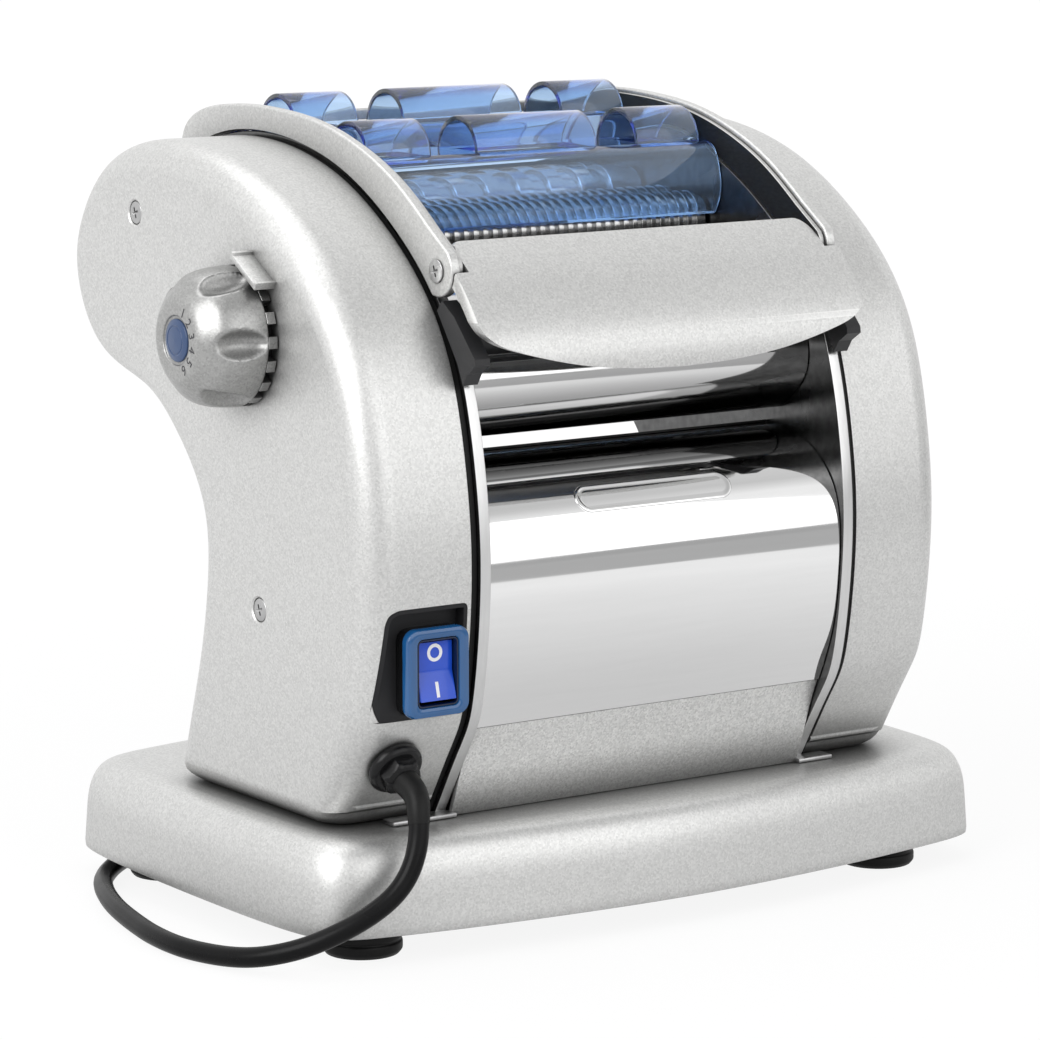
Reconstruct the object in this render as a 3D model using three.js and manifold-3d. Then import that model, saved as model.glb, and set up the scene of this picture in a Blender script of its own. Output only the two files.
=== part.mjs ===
// Electric pasta maker: a motor-driven table machine with a pair of smooth rollers, two pairs of cutters,
// a hinged hood with a clear guard, a thickness knob, a rocker switch and a mains cord.
// Millimetres. X runs to the right, Y to the back and Z up; the machine stands on its four feet at Z = 0.
import * as THREE from "three";
import { mergeVertices } from "three/addons/utils/BufferGeometryUtils.js";
import Module from "manifold-3d";

const wasm = await Module();
wasm.setup();

// Driving dimensions
const bayWidth = 155; // clear width between the side plates
const cheekThickness = 4.5;
const casingDepth = 42; // from a casing's rim to its outer face
const sideDepth = 210; // front to back over the side outline
const sideRise = 233; // height of the side outline over the base
const footHeight = 10;
const baseTop = 43.8;
const rollerRadius = 14;
const cutterRadius = 11.3;
const knobRadius = 25;
const knobLength = 26.5;
const cordRadius = 3.6;

// Clearances and cuts
const gap = 0.3; // between touching pieces
const seam = 2.5; // dark seam between a side plate and its casing
const overrun = 2; // how far a cut runs past what it cuts
const weld = 0.1; // how far two joined solids reach into each other
const mergeTolerance = 1e-4;

// Places across the machine
const bayHalf = bayWidth / 2;
const cheekOuter = bayHalf + cheekThickness;
const rimX = cheekOuter + seam;
const faceX = rimX + casingDepth;

const part = new THREE.Group();
const machine = new THREE.Group();
part.add(machine);

// A closed solid from a three.js geometry: only its positions are kept, and triangles with no area go.
function solidFrom(geometry) {
  const bare = geometry.index ? geometry.toNonIndexed() : geometry;
  const positions = new THREE.BufferGeometry();
  positions.setAttribute("position", bare.getAttribute("position").clone());
  const merged = mergeVertices(positions, mergeTolerance);
  const corners = merged.index.array;
  const kept = [];
  for (let i = 0; i < corners.length; i += 3) {
    const [a, b, c] = [corners[i], corners[i + 1], corners[i + 2]];
    if (a !== b && b !== c && c !== a) kept.push(a, b, c);
  }
  const vertProperties = new Float32Array(merged.attributes.position.array);
  const mesh = new wasm.Mesh({ numProp: 3, vertProperties, triVerts: new Uint32Array(kept) });
  return new wasm.Manifold(mesh);
}

function geometryFrom(solid) {
  const mesh = solid.getMesh();
  const geometry = new THREE.BufferGeometry();
  geometry.setAttribute("position", new THREE.BufferAttribute(mesh.vertProperties, 3));
  geometry.setIndex(new THREE.BufferAttribute(mesh.triVerts, 1));
  return geometry;
}

function joined(...solids) {
  return solids.reduce((whole, piece) => whole.add(piece));
}

function cut(solid, ...tools) {
  return tools.reduce((left, tool) => left.subtract(tool), solid);
}

// The same solid on the other side of the machine.
function mirrored(solid) {
  const geometry = geometryFrom(solid);
  geometry.applyMatrix4(new THREE.Matrix4().makeScale(-1, 1, 1));
  const corners = geometry.index.array;
  for (let i = 0; i < corners.length; i += 3) {
    [corners[i + 1], corners[i + 2]] = [corners[i + 2], corners[i + 1]];
  }
  return solidFrom(geometry);
}

function place(name, solid, material, group = machine) {
  const geometry = geometryFrom(solid).toNonIndexed();
  geometry.computeVertexNormals();
  const mesh = new THREE.Mesh(geometry, material);
  mesh.name = name;
  group.add(mesh);
  return mesh;
}

// An outline in the side view (Y, Z), carried along X from one place to another.
function sideSlab(outline, fromX, toX, hole) {
  const shape = new THREE.Shape(outline);
  if (hole) shape.holes.push(new THREE.Path(hole));
  const geometry = new THREE.ExtrudeGeometry(shape, { depth: toX - fromX, bevelEnabled: false });
  geometry.applyMatrix4(sideFrame);
  geometry.translate(fromX, 0, 0);
  return solidFrom(geometry);
}

const axisX = new THREE.Vector3(1, 0, 0);
const axisY = new THREE.Vector3(0, 1, 0);
const axisZ = new THREE.Vector3(0, 0, 1);
const sideFrame = new THREE.Matrix4().makeBasis(axisY, axisZ, axisX);

// An outline in the front view (X, Z), carried along Y.
function frontSlab(outline, fromY, toY) {
  const geometry = new THREE.ExtrudeGeometry(new THREE.Shape(outline), {
    depth: toY - fromY,
    bevelEnabled: false,
  });
  geometry.rotateX(Math.PI / 2);
  geometry.translate(0, toY, 0);
  return solidFrom(geometry);
}

function block([lowX, highX], [lowY, highY], [lowZ, highZ]) {
  const geometry = new THREE.BoxGeometry(highX - lowX, highY - lowY, highZ - lowZ);
  geometry.translate((lowX + highX) / 2, (lowY + highY) / 2, (lowZ + highZ) / 2);
  return solidFrom(geometry);
}

// A solid turned about an axis along X. The profile lists [place along X, radius] from low X to high X.
function turnedX(profile, centre, segments) {
  const points = profile.map(([along, radius]) => new THREE.Vector2(radius, along));
  const geometry = new THREE.LatheGeometry(points, segments);
  geometry.rotateZ(-Math.PI / 2);
  geometry.translate(0, centre.x, centre.y);
  return solidFrom(geometry);
}

function rodX(fromX, toX, radius, centre, segments) {
  const profile = [[fromX, 0], [fromX, radius], [toX, radius], [toX, 0]];
  return turnedX(profile, centre, segments);
}

function ringX(fromX, toX, inner, outer, centre, segments) {
  const profile = [[fromX, inner], [fromX, outer], [toX, outer], [toX, inner], [fromX, inner]];
  return turnedX(profile, centre, segments);
}

// Points of a closed outline moved inwards along their own normals.
function inset(outline, distance) {
  const count = outline.length;
  const turn = THREE.ShapeUtils.isClockWise(outline) ? -1 : 1;
  return outline.map((point, i) => {
    const before = outline[(i + count - 1) % count];
    const after = outline[(i + 1) % count];
    const inward = new THREE.Vector2(point.x - before.x, point.y - before.y).normalize();
    const outward = new THREE.Vector2(after.x - point.x, after.y - point.y).normalize();
    const along = inward.clone().add(outward).normalize();
    const spread = Math.max(along.dot(outward), 0.5);
    const step = (distance * turn) / spread;
    return new THREE.Vector2(point.x - along.y * step, point.y + along.x * step);
  });
}

// A sheet that follows a line in the side view, with its thickness on the line's right-hand side.
function sheet(line, thickness, halfWidth) {
  const inner = besideLine(line, thickness);
  return sideSlab([...line, ...inner.reverse()], -halfWidth, halfWidth);
}

function besideLine(line, distance) {
  return line.map((point, i) => {
    const before = line[Math.max(i - 1, 0)];
    const after = line[Math.min(i + 1, line.length - 1)];
    const along = new THREE.Vector2(after.x - before.x, after.y - before.y).normalize();
    return new THREE.Vector2(point.x + along.y * distance, point.y - along.x * distance);
  });
}

function circle(centre, radius, steps, start = 0) {
  return Array.from({ length: steps }, (_, i) => {
    const angle = start + (i / steps) * 2 * Math.PI;
    return new THREE.Vector2(centre.x + radius * Math.cos(angle), centre.y + radius * Math.sin(angle));
  });
}

// Places in the side view, as shares of the side outline's depth and rise.
function sidePoint([depthShare, riseShare]) {
  return new THREE.Vector2(depthShare * sideDepth, baseTop + riseShare * sideRise);
}

function sideCurve(shares, steps) {
  return new THREE.SplineCurve(shares.map(sidePoint)).getPoints(steps);
}

// Materials
function finish(color, roughness, metalness, extra = {}) {
  return new THREE.MeshStandardMaterial({ color, roughness, metalness, ...extra });
}

const silverPaint = finish(0xc9c9c6, 0.42, 0.55);
const texturedPaint = finish(0xb9b9b6, 0.6, 0.5);
const polishedSteel = finish(0xd8d8d8, 0.08, 1);
const satinSteel = finish(0x8f9092, 0.3, 1);
const gearSteel = finish(0x7d7f83, 0.4, 1);
const blackPlastic = finish(0x17181a, 0.5, 0);
const darkPlastic = finish(0x3a3b3d, 0.45, 0.1);
const blackRubber = finish(0x0e0e0f, 0.8, 0);
const clearBlue = finish(0x3f7fd0, 0.08, 0, { transparent: true, opacity: 0.45 });
const blueSwitch = finish(0x2b5fd6, 0.3, 0);
const blueBoot = finish(0x2f79b8, 0.35, 0);
const capBlue = finish(0x2c4f86, 0.35, 0);
const cordBlack = finish(0x111112, 0.55, 0);

// Side outline shared by the side plates, the casings and the covers, from the front foot
// up over the top, round the head at the back and down the waist to the rear foot.
const sideOutlineShares = [
  [-0.238, -0.103],
  [-0.374, 0.103],
  [-0.426, 0.197],
  [-0.449, 0.369],
  [-0.436, 0.532],
  [-0.39, 0.691],
  [-0.305, 0.807],
  [-0.19, 0.891],
  [-0.048, 0.957],
  [0.119, 0.994],
  [0.286, 0.998],
  [0.429, 0.964],
  [0.519, 0.888],
  [0.554, 0.798],
  [0.524, 0.704],
  [0.438, 0.635],
  [0.305, 0.599],
  [0.2, 0.536],
  [0.124, 0.453],
  [0.105, 0.356],
  [0.129, 0.227],
  [0.171, 0.103],
  [0.238, -0.103],
];
const sideOutlineSteps = 44;
const sideOutline = sideCurve(sideOutlineShares, sideOutlineSteps);
const belowBase = [
  [-faceX - overrun, faceX + overrun],
  [-sideDepth, sideDepth],
  [-sideRise, baseTop + gap],
];

// Base: a deep tray with bowed sides, a big rounded edge and a bottom plate, on four rubber feet.
const baseHalfWidth = 151;
const baseHalfDepth = 108;
const baseShift = new THREE.Vector2(7.5, 5); // the base reaches further to the right and the back
const baseWall = 2.6;
const basePlateThickness = 2;
const basePlateRecess = 0.8;
const basePlateInset = baseWall + 4 * gap;
const planShares = [
  [1, 0],
  [0.996, 0.4],
  [0.977, 0.7],
  [0.92, 0.837],
  [0.8, 0.888],
  [0.65, 0.924],
  [0.42, 0.965],
  [0, 1],
];
// Rings of the tray from its bottom edge to its plateau: share of the height, and inset.
const trayRiseShares = [0, 0.62, 0.84, 0.96, 1];
const trayInsets = [0, 1.6, 4, 8, 14];
const footRadius = 14.2;
const footInsetX = 35.5; // a foot's middle from the base's side and from its front
const footInsetY = 40;
const footShiftX = 2; // the feet stand a little further to the right
const footPlace = new THREE.Vector2(baseHalfWidth - footInsetX, baseHalfDepth - footInsetY);
const footChamfer = 1.5;
const footSegments = 16;
const footStemSegments = 10;

function planOutline(edgeInset) {
  const quarter = new THREE.SplineCurve(
    planShares.map(([shareX, shareY]) => {
      return new THREE.Vector2(shareX * (baseHalfWidth - edgeInset), shareY * (baseHalfDepth - edgeInset));
    }),
  ).getPoints(planShares.length - 1);
  const right = quarter.slice(0, -1);
  const back = quarter.slice(1).reverse().map((p) => new THREE.Vector2(-p.x, p.y));
  const half = [...right, ...back];
  const front = half.map((p) => new THREE.Vector2(-p.x, -p.y));
  return [...half, ...front];
}

// A closed solid through rings of equal point counts, each ring flat at its own height.
function loft(rings) {
  const count = rings[0].points.length;
  const positions = [];
  const corners = [];
  rings.forEach(({ points, z }) => points.forEach((p) => positions.push(p.x, p.y, z)));
  for (let ring = 0; ring + 1 < rings.length; ring += 1) {
    for (let i = 0; i < count; i += 1) {
      const [a, b] = [ring * count + i, ring * count + ((i + 1) % count)];
      corners.push(a, b, b + count, a, b + count, a + count);
    }
  }
  const top = (rings.length - 1) * count;
  for (let i = 1; i + 1 < count; i += 1) {
    corners.push(0, i + 1, i, top, top + i, top + i + 1);
  }
  const geometry = new THREE.BufferGeometry();
  geometry.setAttribute("position", new THREE.Float32BufferAttribute(positions, 3));
  geometry.setIndex(corners);
  return geometry;
}

function traySolid(wall, dropBelow) {
  const rings = trayRiseShares.map((share, i) => ({
    points: planOutline(trayInsets[i] + wall),
    z: footHeight + share * (baseTop - footHeight) - wall,
  }));
  if (dropBelow) rings[0].z = footHeight - overrun;
  const geometry = loft(rings);
  geometry.translate(baseShift.x, baseShift.y, 0);
  return solidFrom(geometry);
}

function addBase() {
  const tray = cut(traySolid(0, false), traySolid(baseWall, true));
  place("base_tray", tray, silverPaint);
  const plateBottom = footHeight + basePlateRecess;
  const plateTop = plateBottom + basePlateThickness;
  const outline = planOutline(basePlateInset);
  const plate = loft([
    { points: outline, z: plateBottom },
    { points: outline, z: plateTop },
  ]);
  plate.translate(baseShift.x, baseShift.y, 0);
  const holes = footPlaces().map(([, x, y]) => footStem(x, y, footStemRadius + gap, plateTop + overrun));
  place("base_plate", cut(solidFrom(plate), ...holes), blackPlastic);
  footPlaces().forEach(([name, x, y]) => place(name, foot(x, y), blackRubber));
}

const footStemRadius = 5;

function footPlaces() {
  return [
    ["foot_front_left", footShiftX - footPlace.x, -footPlace.y],
    ["foot_front_right", footShiftX + footPlace.x, -footPlace.y],
    ["foot_rear_left", footShiftX - footPlace.x, footPlace.y],
    ["foot_rear_right", footShiftX + footPlace.x, footPlace.y],
  ];
}

function footStem(x, y, radius, topZ) {
  const geometry = new THREE.CylinderGeometry(radius, radius, topZ, footStemSegments);
  geometry.rotateX(Math.PI / 2);
  geometry.translate(x, y, topZ / 2);
  return solidFrom(geometry);
}

function foot(x, y) {
  const padTop = footHeight + basePlateRecess - gap;
  const profile = [
    [0, 0],
    [footRadius - footChamfer, 0],
    [footRadius, footChamfer],
    [footRadius, padTop],
    [0, padTop],
  ].map(([radius, z]) => new THREE.Vector2(radius, z));
  const pad = new THREE.LatheGeometry(profile, footSegments);
  pad.rotateX(Math.PI / 2);
  pad.translate(x, y, 0);
  return joined(solidFrom(pad), footStem(x, y, footStemRadius, padTop + basePlateThickness));
}

// Roll and gear places in the side view. The smooth pair stands at the front under the feed gap,
// the narrow cutters in the middle and the wide cutters at the back.
const adjusterAxis = sidePoint([-0.05714, 0.72446]);
const rollerTravel = 1.2; // how far the thickness knob moves the sliding roller
const rollerGapWide = 2; // gap between the smooth rollers at the thickest setting
const slidingAxis = new THREE.Vector2(adjusterAxis.x + rollerTravel / 2, adjusterAxis.y);
const fixedAxis = new THREE.Vector2(slidingAxis.x - 2 * rollerRadius - rollerGapWide, adjusterAxis.y);
const cutterSpacing = 22;
const narrowFront = sidePoint([-0.0119, 0.8485]);
const narrowRear = new THREE.Vector2(narrowFront.x + cutterSpacing, narrowFront.y);
const driveModule = 1.7333;
const cutterTeeth = 15;
const fixedTeeth = 12;
const mainTeeth = 42;
const layTeeth = 11;
const wideRise = 6.4;
const wideReach = Math.sqrt((driveModule * cutterTeeth) ** 2 - wideRise ** 2);
const wideFront = new THREE.Vector2(narrowRear.x + wideReach, narrowRear.y + wideRise);
const wideRear = new THREE.Vector2(wideFront.x + cutterSpacing, wideFront.y);

// The main gear meshes with the fixed roller's gear and the narrow cutter's gear, below both.
function meshCentre(first, firstReach, second, secondReach) {
  const across = second.clone().sub(first);
  const distance = across.length();
  const along = (firstReach ** 2 - secondReach ** 2 + distance ** 2) / (2 * distance);
  const down = Math.sqrt(firstReach ** 2 - along ** 2);
  const unit = across.normalize();
  return new THREE.Vector2(
    first.x + unit.x * along + unit.y * down,
    first.y + unit.y * along - unit.x * down,
  );
}

const mainAxis = meshCentre(
  fixedAxis,
  (driveModule * (mainTeeth + fixedTeeth)) / 2,
  narrowRear,
  (driveModule * (mainTeeth + cutterTeeth)) / 2,
);
const trainLean = (-110 * Math.PI) / 180; // the reduction runs down from the main gear at this angle
const trainStep = new THREE.Vector2(Math.cos(trainLean), Math.sin(trainLean));
const layModule = 1.4;
const layWheelTeeth = 42;
const pinionTeeth = 9;
const layAxis = mainAxis
  .clone()
  .addScaledVector(trainStep, (driveModule * (mainTeeth + layTeeth)) / 2);
const motorAxis = layAxis
  .clone()
  .addScaledVector(trainStep, (layModule * (layWheelTeeth + pinionTeeth)) / 2);

// Shafts, bushes and bearing sleeves
const rollerShaft = 5;
const cutterShaft = 4;
const sleeveWall = 1.3;
const sleeveRadius = rollerShaft + gap + sleeveWall;
const bushRadius = 11;
const rollSegments = 18;
const shaftSegments = 10;
const boreFlat = Math.cos(Math.PI / shaftSegments); // a bore's flats lie nearer than its corners by this
const bushBore = (sleeveRadius + rollerTravel / 2 + gap) / boreFlat;
const tieRadius = 4;
const tieBoltRadius = 2.5;
const tieClearance = 4; // from the rear cutter
const tieDrop = 3.7;
const tieRear = new THREE.Vector2(wideRear.x + cutterRadius + tieClearance + tieRadius, wideRear.y - tieDrop);
const tiePlaces = [
  ["tie_rod_front", sidePoint([-0.3, 0.06])],
  ["tie_rod_rear", tieRear],
];

// Hood pivot and arch
const pivot = sidePoint([-0.34286, 0.83348]);
const pivotRound = 9.3;
const pivotClearance = 0.8;

// Side plates: steel plates that carry every roll, with a thin bright edge that shows at the front.
const cheekProud = 1.4; // how far the plate's edge stands out past the casings
const cheekHoleRadius = cutterShaft + gap;

function cheekSolid(adjusterHole) {
  const plate = sideSlab(inset(sideOutline, -cheekProud), bayHalf, cheekOuter);
  const hole = (centre, radius) => {
    return rodX(bayHalf - overrun, cheekOuter + overrun, radius, centre, shaftSegments);
  };
  return cut(
    plate,
    block(...belowBase),
    hole(fixedAxis, rollerShaft + gap),
    hole(narrowFront, cheekHoleRadius),
    hole(narrowRear, cheekHoleRadius),
    hole(wideFront, cheekHoleRadius),
    hole(wideRear, cheekHoleRadius),
    rodX(bayHalf - overrun, cheekOuter + overrun, adjusterHole, adjusterAxis, rollSegments),
    rodX(bayHalf - overrun, cheekOuter + overrun, pivotRound + pivotClearance, pivot, rollSegments),
    ...tiePlaces.map(([, centre]) => hole(centre, tieBoltRadius + gap)),
  );
}

function addCheeks() {
  const motorHole = rodX(
    bayHalf - overrun,
    cheekOuter + overrun,
    motorNoseRadius + gap,
    motorAxis,
    rollSegments,
  );
  const studHoles = [mainAxis, layAxis].map((centre) => {
    return rodX(bayHalf - overrun, cheekOuter + overrun, studRadius + gap, centre, shaftSegments);
  });
  place("right_cheek", cut(cheekSolid(bushBore), motorHole, ...studHoles), satinSteel);
  place("left_cheek", mirrored(cheekSolid(bushRadius + gap)), satinSteel);
  tiePlaces.forEach(([name, centre]) => {
    const neck = cheekOuter;
    const shoulder = bayHalf - gap;
    const profile = [
      [-neck, 0],
      [-neck, tieBoltRadius],
      [-shoulder, tieBoltRadius],
      [-shoulder, tieRadius],
      [shoulder, tieRadius],
      [shoulder, tieBoltRadius],
      [neck, tieBoltRadius],
      [neck, 0],
    ];
    place(name, turnedX(profile, centre, shaftSegments), gearSteel);
  });
}

// Casings: hollow shells in silver paint over the gear train on the right and the switch gear on the
// left, with a big soft edge round the outer face.
const casingWall = 2.6;
const casingRound = 12;
const casingRoundSteps = 3;
const casingScrewPlaces = [sidePoint([0.302, 0.884]), sidePoint([-0.102, 0.309])];
const screwRadius = 4.2;
const screwRecess = 1;
const screwShank = 2;
const screwLength = 12;
const screwBoss = 5;
const bossFloor = 3;
const bossLength = screwLength + bossFloor;
const screwHeadShare = 0.8; // of the recess's depth
const screwTopShare = 0.85; // of the head's radius
const screwSunkShare = 0.15;
const screwSegments = 8;

function softSided(outline, wall, roundSteps) {
  const round = casingRound - wall;
  const depth = casingDepth;
  const geometry = new THREE.ExtrudeGeometry(new THREE.Shape(outline), {
    depth,
    bevelEnabled: true,
    bevelThickness: round,
    bevelSize: round,
    bevelOffset: -round,
    bevelSegments: roundSteps,
  });
  geometry.applyMatrix4(sideFrame);
  geometry.translate(faceX - wall - depth - round, 0, 0);
  return solidFrom(geometry);
}

const behindRim = [
  [-faceX, rimX],
  [-sideDepth, sideDepth],
  [-sideRise, 2 * sideRise],
];

function casingSolid() {
  const shell = cut(
    softSided(sideOutline, 0, casingRoundSteps),
    softSided(inset(sideOutline, casingWall), casingWall, 1),
    block(...behindRim),
    block(...belowBase),
  );
  const bosses = casingScrewPlaces.map((centre) => {
    return rodX(faceX - bossLength, faceX - casingWall + weld, screwBoss, centre, screwSegments);
  });
  const recesses = casingScrewPlaces.flatMap((centre) => [
    rodX(faceX - screwRecess, faceX + overrun, screwRadius + gap, centre, screwSegments),
    rodX(faceX - screwLength - overrun, faceX, screwShank + gap, centre, screwSegments),
  ]);
  return cut(joined(shell, ...bosses), ...recesses);
}

function screwX(outer, head, shank, length, centre) {
  const headHeight = screwRecess * screwHeadShare;
  const profile = [
    [outer - length, 0],
    [outer - length, shank],
    [outer - headHeight, shank],
    [outer - headHeight, head],
    [outer, head * screwTopShare],
    [outer, 0],
  ];
  return turnedX(profile, centre, screwSegments);
}

// Thickness index: a thin plate that stands out of the left casing over the knob's rim.
const indexReach = 8.6;
const indexWidth = 19;
const indexThickness = 2.3;
const indexRise = 27.3; // its lower face from the knob's axis
const indexLean = 31; // degrees, towards the front

function indexPlate() {
  const nearX = -faceX + weld;
  const half = indexWidth / 2;
  return block([nearX - indexReach, nearX + overrun], [-half, half], [indexRise, indexRise + indexThickness])
    .rotate([indexLean, 0, 0])
    .translate([0, adjusterAxis.x, adjusterAxis.y]);
}

// Switch recess in the front of the left casing: its right edge and its bottom, and its outline
// as shares of its width to the left and its height up.
const switchOut = 15.5; // from the casing's rim to the switch's middle
const switchRiseShare = 0.25322;
const switchCentre = new THREE.Vector2(-rimX - switchOut, baseTop + switchRiseShare * sideRise);
const bootWidth = 25.6;
const bootHeight = 31.2;
const bootFrontShare = -0.4619; // of the side outline's depth
const bootFrontY = bootFrontShare * sideDepth;
const recessFloorShare = -0.41667;
const recessFloorY = recessFloorShare * sideDepth;
const recessMargin = 1.7; // from the casing's rim
const recessRight = -rimX - recessMargin;
const recessBottomShare = 0.17897;
const recessBottom = baseTop + recessBottomShare * sideRise;
const recessWidth = 35.8;
const recessHeight = 40;
const recessShares = [
  [0, 0],
  [0, 1],
  [0.8, 1],
  [0.89, 0.965],
  [0.925, 0.89],
  [1, 0.08],
  [0.965, 0],
];
const switchBodyWidth = 20;
const switchBodyHeight = 27;

function recessOutline() {
  return recessShares.map(([across, up]) => {
    return new THREE.Vector2(recessRight - across * recessWidth, recessBottom + up * recessHeight);
  });
}

// A rectangle with rounded corners in the front view.
function roundedBox(centre, width, height, radius) {
  const corners = [
    [1, 1],
    [-1, 1],
    [-1, -1],
    [1, -1],
  ];
  return corners.flatMap(([right, up], quarter) => {
    const middle = new THREE.Vector2(
      centre.x + right * (width / 2 - radius),
      centre.y + up * (height / 2 - radius),
    );
    return [0, 1, 2, 3].map((i) => {
      const angle = ((quarter + i / 3) * Math.PI) / 2;
      return new THREE.Vector2(middle.x + radius * Math.cos(angle), middle.y + radius * Math.sin(angle));
    });
  });
}

// Gland on the slanted foot of the left casing. It points out and down, square to the casing.
const glandPoint = sidePoint([-0.377, 0.107]);
const glandOut = 23.5; // from the casing's rim
const glandX = -rimX - glandOut;
const glandLean = (-151 * Math.PI) / 180; // its axis in the side view, from +Y
const glandThread = 6.5;
const glandCollar = 10.2;
const glandCollarLength = 5;
const glandNose = 8;
const glandNoseLength = 5;
const glandNoseTip = 5;
const glandSeat = 0.9; // the collar's back lies this far off, because the casing bulges above it

function glandShape(profile, segments) {
  const points = profile.map(([along, radius]) => new THREE.Vector2(radius, along));
  const geometry = new THREE.LatheGeometry(points, segments);
  const axis = new THREE.Vector3(0, Math.cos(glandLean), Math.sin(glandLean));
  geometry.applyQuaternion(new THREE.Quaternion().setFromUnitVectors(axisY, axis));
  geometry.translate(glandX, glandPoint.x, glandPoint.y);
  return solidFrom(geometry);
}

function addCasings() {
  const right = casingSolid();
  place("right_casing", right, silverPaint);
  const knobHole = rodX(-faceX - overrun, -rimX, spindleRadius + gap, adjusterAxis, shaftSegments);
  const glandHole = glandShape(
    [
      [-4 * casingWall, 0],
      [-4 * casingWall, glandThread + gap],
      [casingWall, glandThread + gap],
      [casingWall, 0],
    ],
    rollSegments,
  );
  const outline = recessOutline();
  const pocket = frontSlab(inset(outline, -casingWall), -sideDepth, recessFloorY + casingWall);
  const full = mirrored(cut(softSided(sideOutline, 0, casingRoundSteps), block(...behindRim)));
  const switchHole = frontSlab(
    roundedBox(switchCentre, switchBodyWidth + 2 * gap, switchBodyHeight + 2 * gap, bootCorner),
    recessFloorY - overrun,
    recessFloorY + casingWall + overrun,
  );
  const left = cut(
    joined(mirrored(casingSolid()), pocket.intersect(full), indexPlate()),
    frontSlab(outline, -sideDepth, recessFloorY),
    switchHole,
    knobHole,
    glandHole,
  );
  place("left_casing", left, silverPaint);
  casingScrewPlaces.forEach((centre, i) => {
    const level = i === 0 ? "upper" : "lower";
    const outer = faceX - screwRecess * screwSunkShare;
    const screw = screwX(outer, screwRadius, screwShank, screwLength, centre);
    place(`right_casing_screw_${level}`, screw, satinSteel);
    place(`left_casing_screw_${level}`, mirrored(screw), satinSteel);
  });
}

// Seam gaskets: dark rings that fill the seam between side plate and casing.
const gasketInset = 3.2;
const gasketWidth = 5;
const gasketSteps = 22;

function addGaskets() {
  const outline = sideCurve(sideOutlineShares, gasketSteps);
  const ring = cut(
    sideSlab(inset(outline, gasketInset), cheekOuter + gap, rimX - gap),
    sideSlab(inset(outline, gasketInset + gasketWidth), cheekOuter, rimX),
    block(...belowBase),
  );
  place("right_seam_gasket", ring, blackPlastic);
  place("left_seam_gasket", mirrored(ring), blackPlastic);
}

// Covers between the side plates
const coverHalf = bayHalf - gap;
const coverThickness = 1.6;
const panelThickness = 2;
const lowerCoverShares = [
  [-0.394, 0.146],
  [-0.431, 0.232],
  [-0.446, 0.318],
  [-0.449, 0.382],
  [-0.4395, 0.438],
  [-0.4095, 0.485],
  [-0.357, 0.521],
  [-0.295, 0.538],
  [-0.238, 0.54],
];
const lowerCoverBack = sidePoint([0.09, 0.456]);
const frontPanelShares = [
  [-0.3905, 0.1445],
  [-0.372, 0.105],
  [-0.351, 0.05],
  [-0.331, 0.002],
];
const rearPanelShares = [
  [0.088, 0.441],
  [0.087, 0.356],
  [0.108, 0.227],
  [0.148, 0.103],
  [0.178, 0.002],
];
// The upper cover wraps the fixed roller: its points in roller radii from the roller's axis.
const upperCoverShares = [
  [-1.333, -0.474],
  [-2.113, -0.507],
  [-2.323, -0.773],
  [-2.345, -1.273],
  [-2.188, -1.705],
  [-1.798, -2.155],
  [-1.183, -2.571],
  [-0.478, -2.637],
];
const rearCoverInset = 0.6;

function besideRoller([forwardShare, upShare]) {
  return new THREE.Vector2(
    fixedAxis.x + forwardShare * rollerRadius,
    fixedAxis.y + upShare * rollerRadius,
  );
}

function addCovers() {
  const hump = [...sideCurve(lowerCoverShares, 18), lowerCoverBack];
  place("lower_cover", sheet(hump, coverThickness, coverHalf), polishedSteel);
  const front = sideCurve(frontPanelShares, 4).reverse();
  const frontSheet = sheet(front, panelThickness, coverHalf);
  place("front_panel", cut(frontSheet, block(...belowBase)), texturedPaint);
  const rear = sideCurve(rearPanelShares, 6);
  const rearSheet = sheet(rear, panelThickness, coverHalf);
  place("rear_panel", cut(rearSheet, block(...belowBase)), texturedPaint);
  const upper = new THREE.SplineCurve(upperCoverShares.map(besideRoller)).getPoints(14).reverse();
  place("upper_cover", sheet(upper, coverThickness, coverHalf), polishedSteel);
  const shell = cut(
    sideSlab(inset(sideOutline, rearCoverInset), -coverHalf, coverHalf),
    sideSlab(inset(sideOutline, rearCoverInset + coverThickness), -bayHalf, bayHalf),
    block([-bayHalf, bayHalf], [-sideDepth, rearCoverCorner.x], [-sideRise, 2 * sideRise]),
    block([-bayHalf, bayHalf], [-sideDepth, sideDepth], [rearCoverCorner.y, 2 * sideRise]),
  );
  place("rear_cover", shell, polishedSteel);
}

const rearCoverCorner = sidePoint([0.38095, 0.93648]); // its lower front limit and its top

// Apron: the curved plate over the front, narrow between the hood's arms and wider below them.
const apronSetBack = 1; // from the casing's rim
const apronHalf = rimX - apronSetBack;
const plateStep = 0.5; // how far the liners and brackets stand outside the bay
const apronNeckHalf = bayHalf + plateStep - gap;
const apronThickness = 2;
const apronCorner = 5;
const apronCornerShare = 0.3;
const apronShares = [
  [-0.331, 0.8745],
  [-0.393, 0.834],
  [-0.436, 0.794],
  [-0.469, 0.753],
  [-0.486, 0.717],
  [-0.4885, 0.675],
];
const apronStepShare = 0.834;
const apronSideShare = 0.765;
const apronBellyShares = [
  [0.97, 0.744],
  [0.86, 0.7235],
  [0.56, 0.6965],
  [0.28, 0.6835],
  [0, 0.6795],
];
const apronFlangeWidth = 2;
const apronFlangeDepth = 5;

function frontPoint(x, riseShare) {
  return new THREE.Vector2(x, baseTop + riseShare * sideRise);
}

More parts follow.
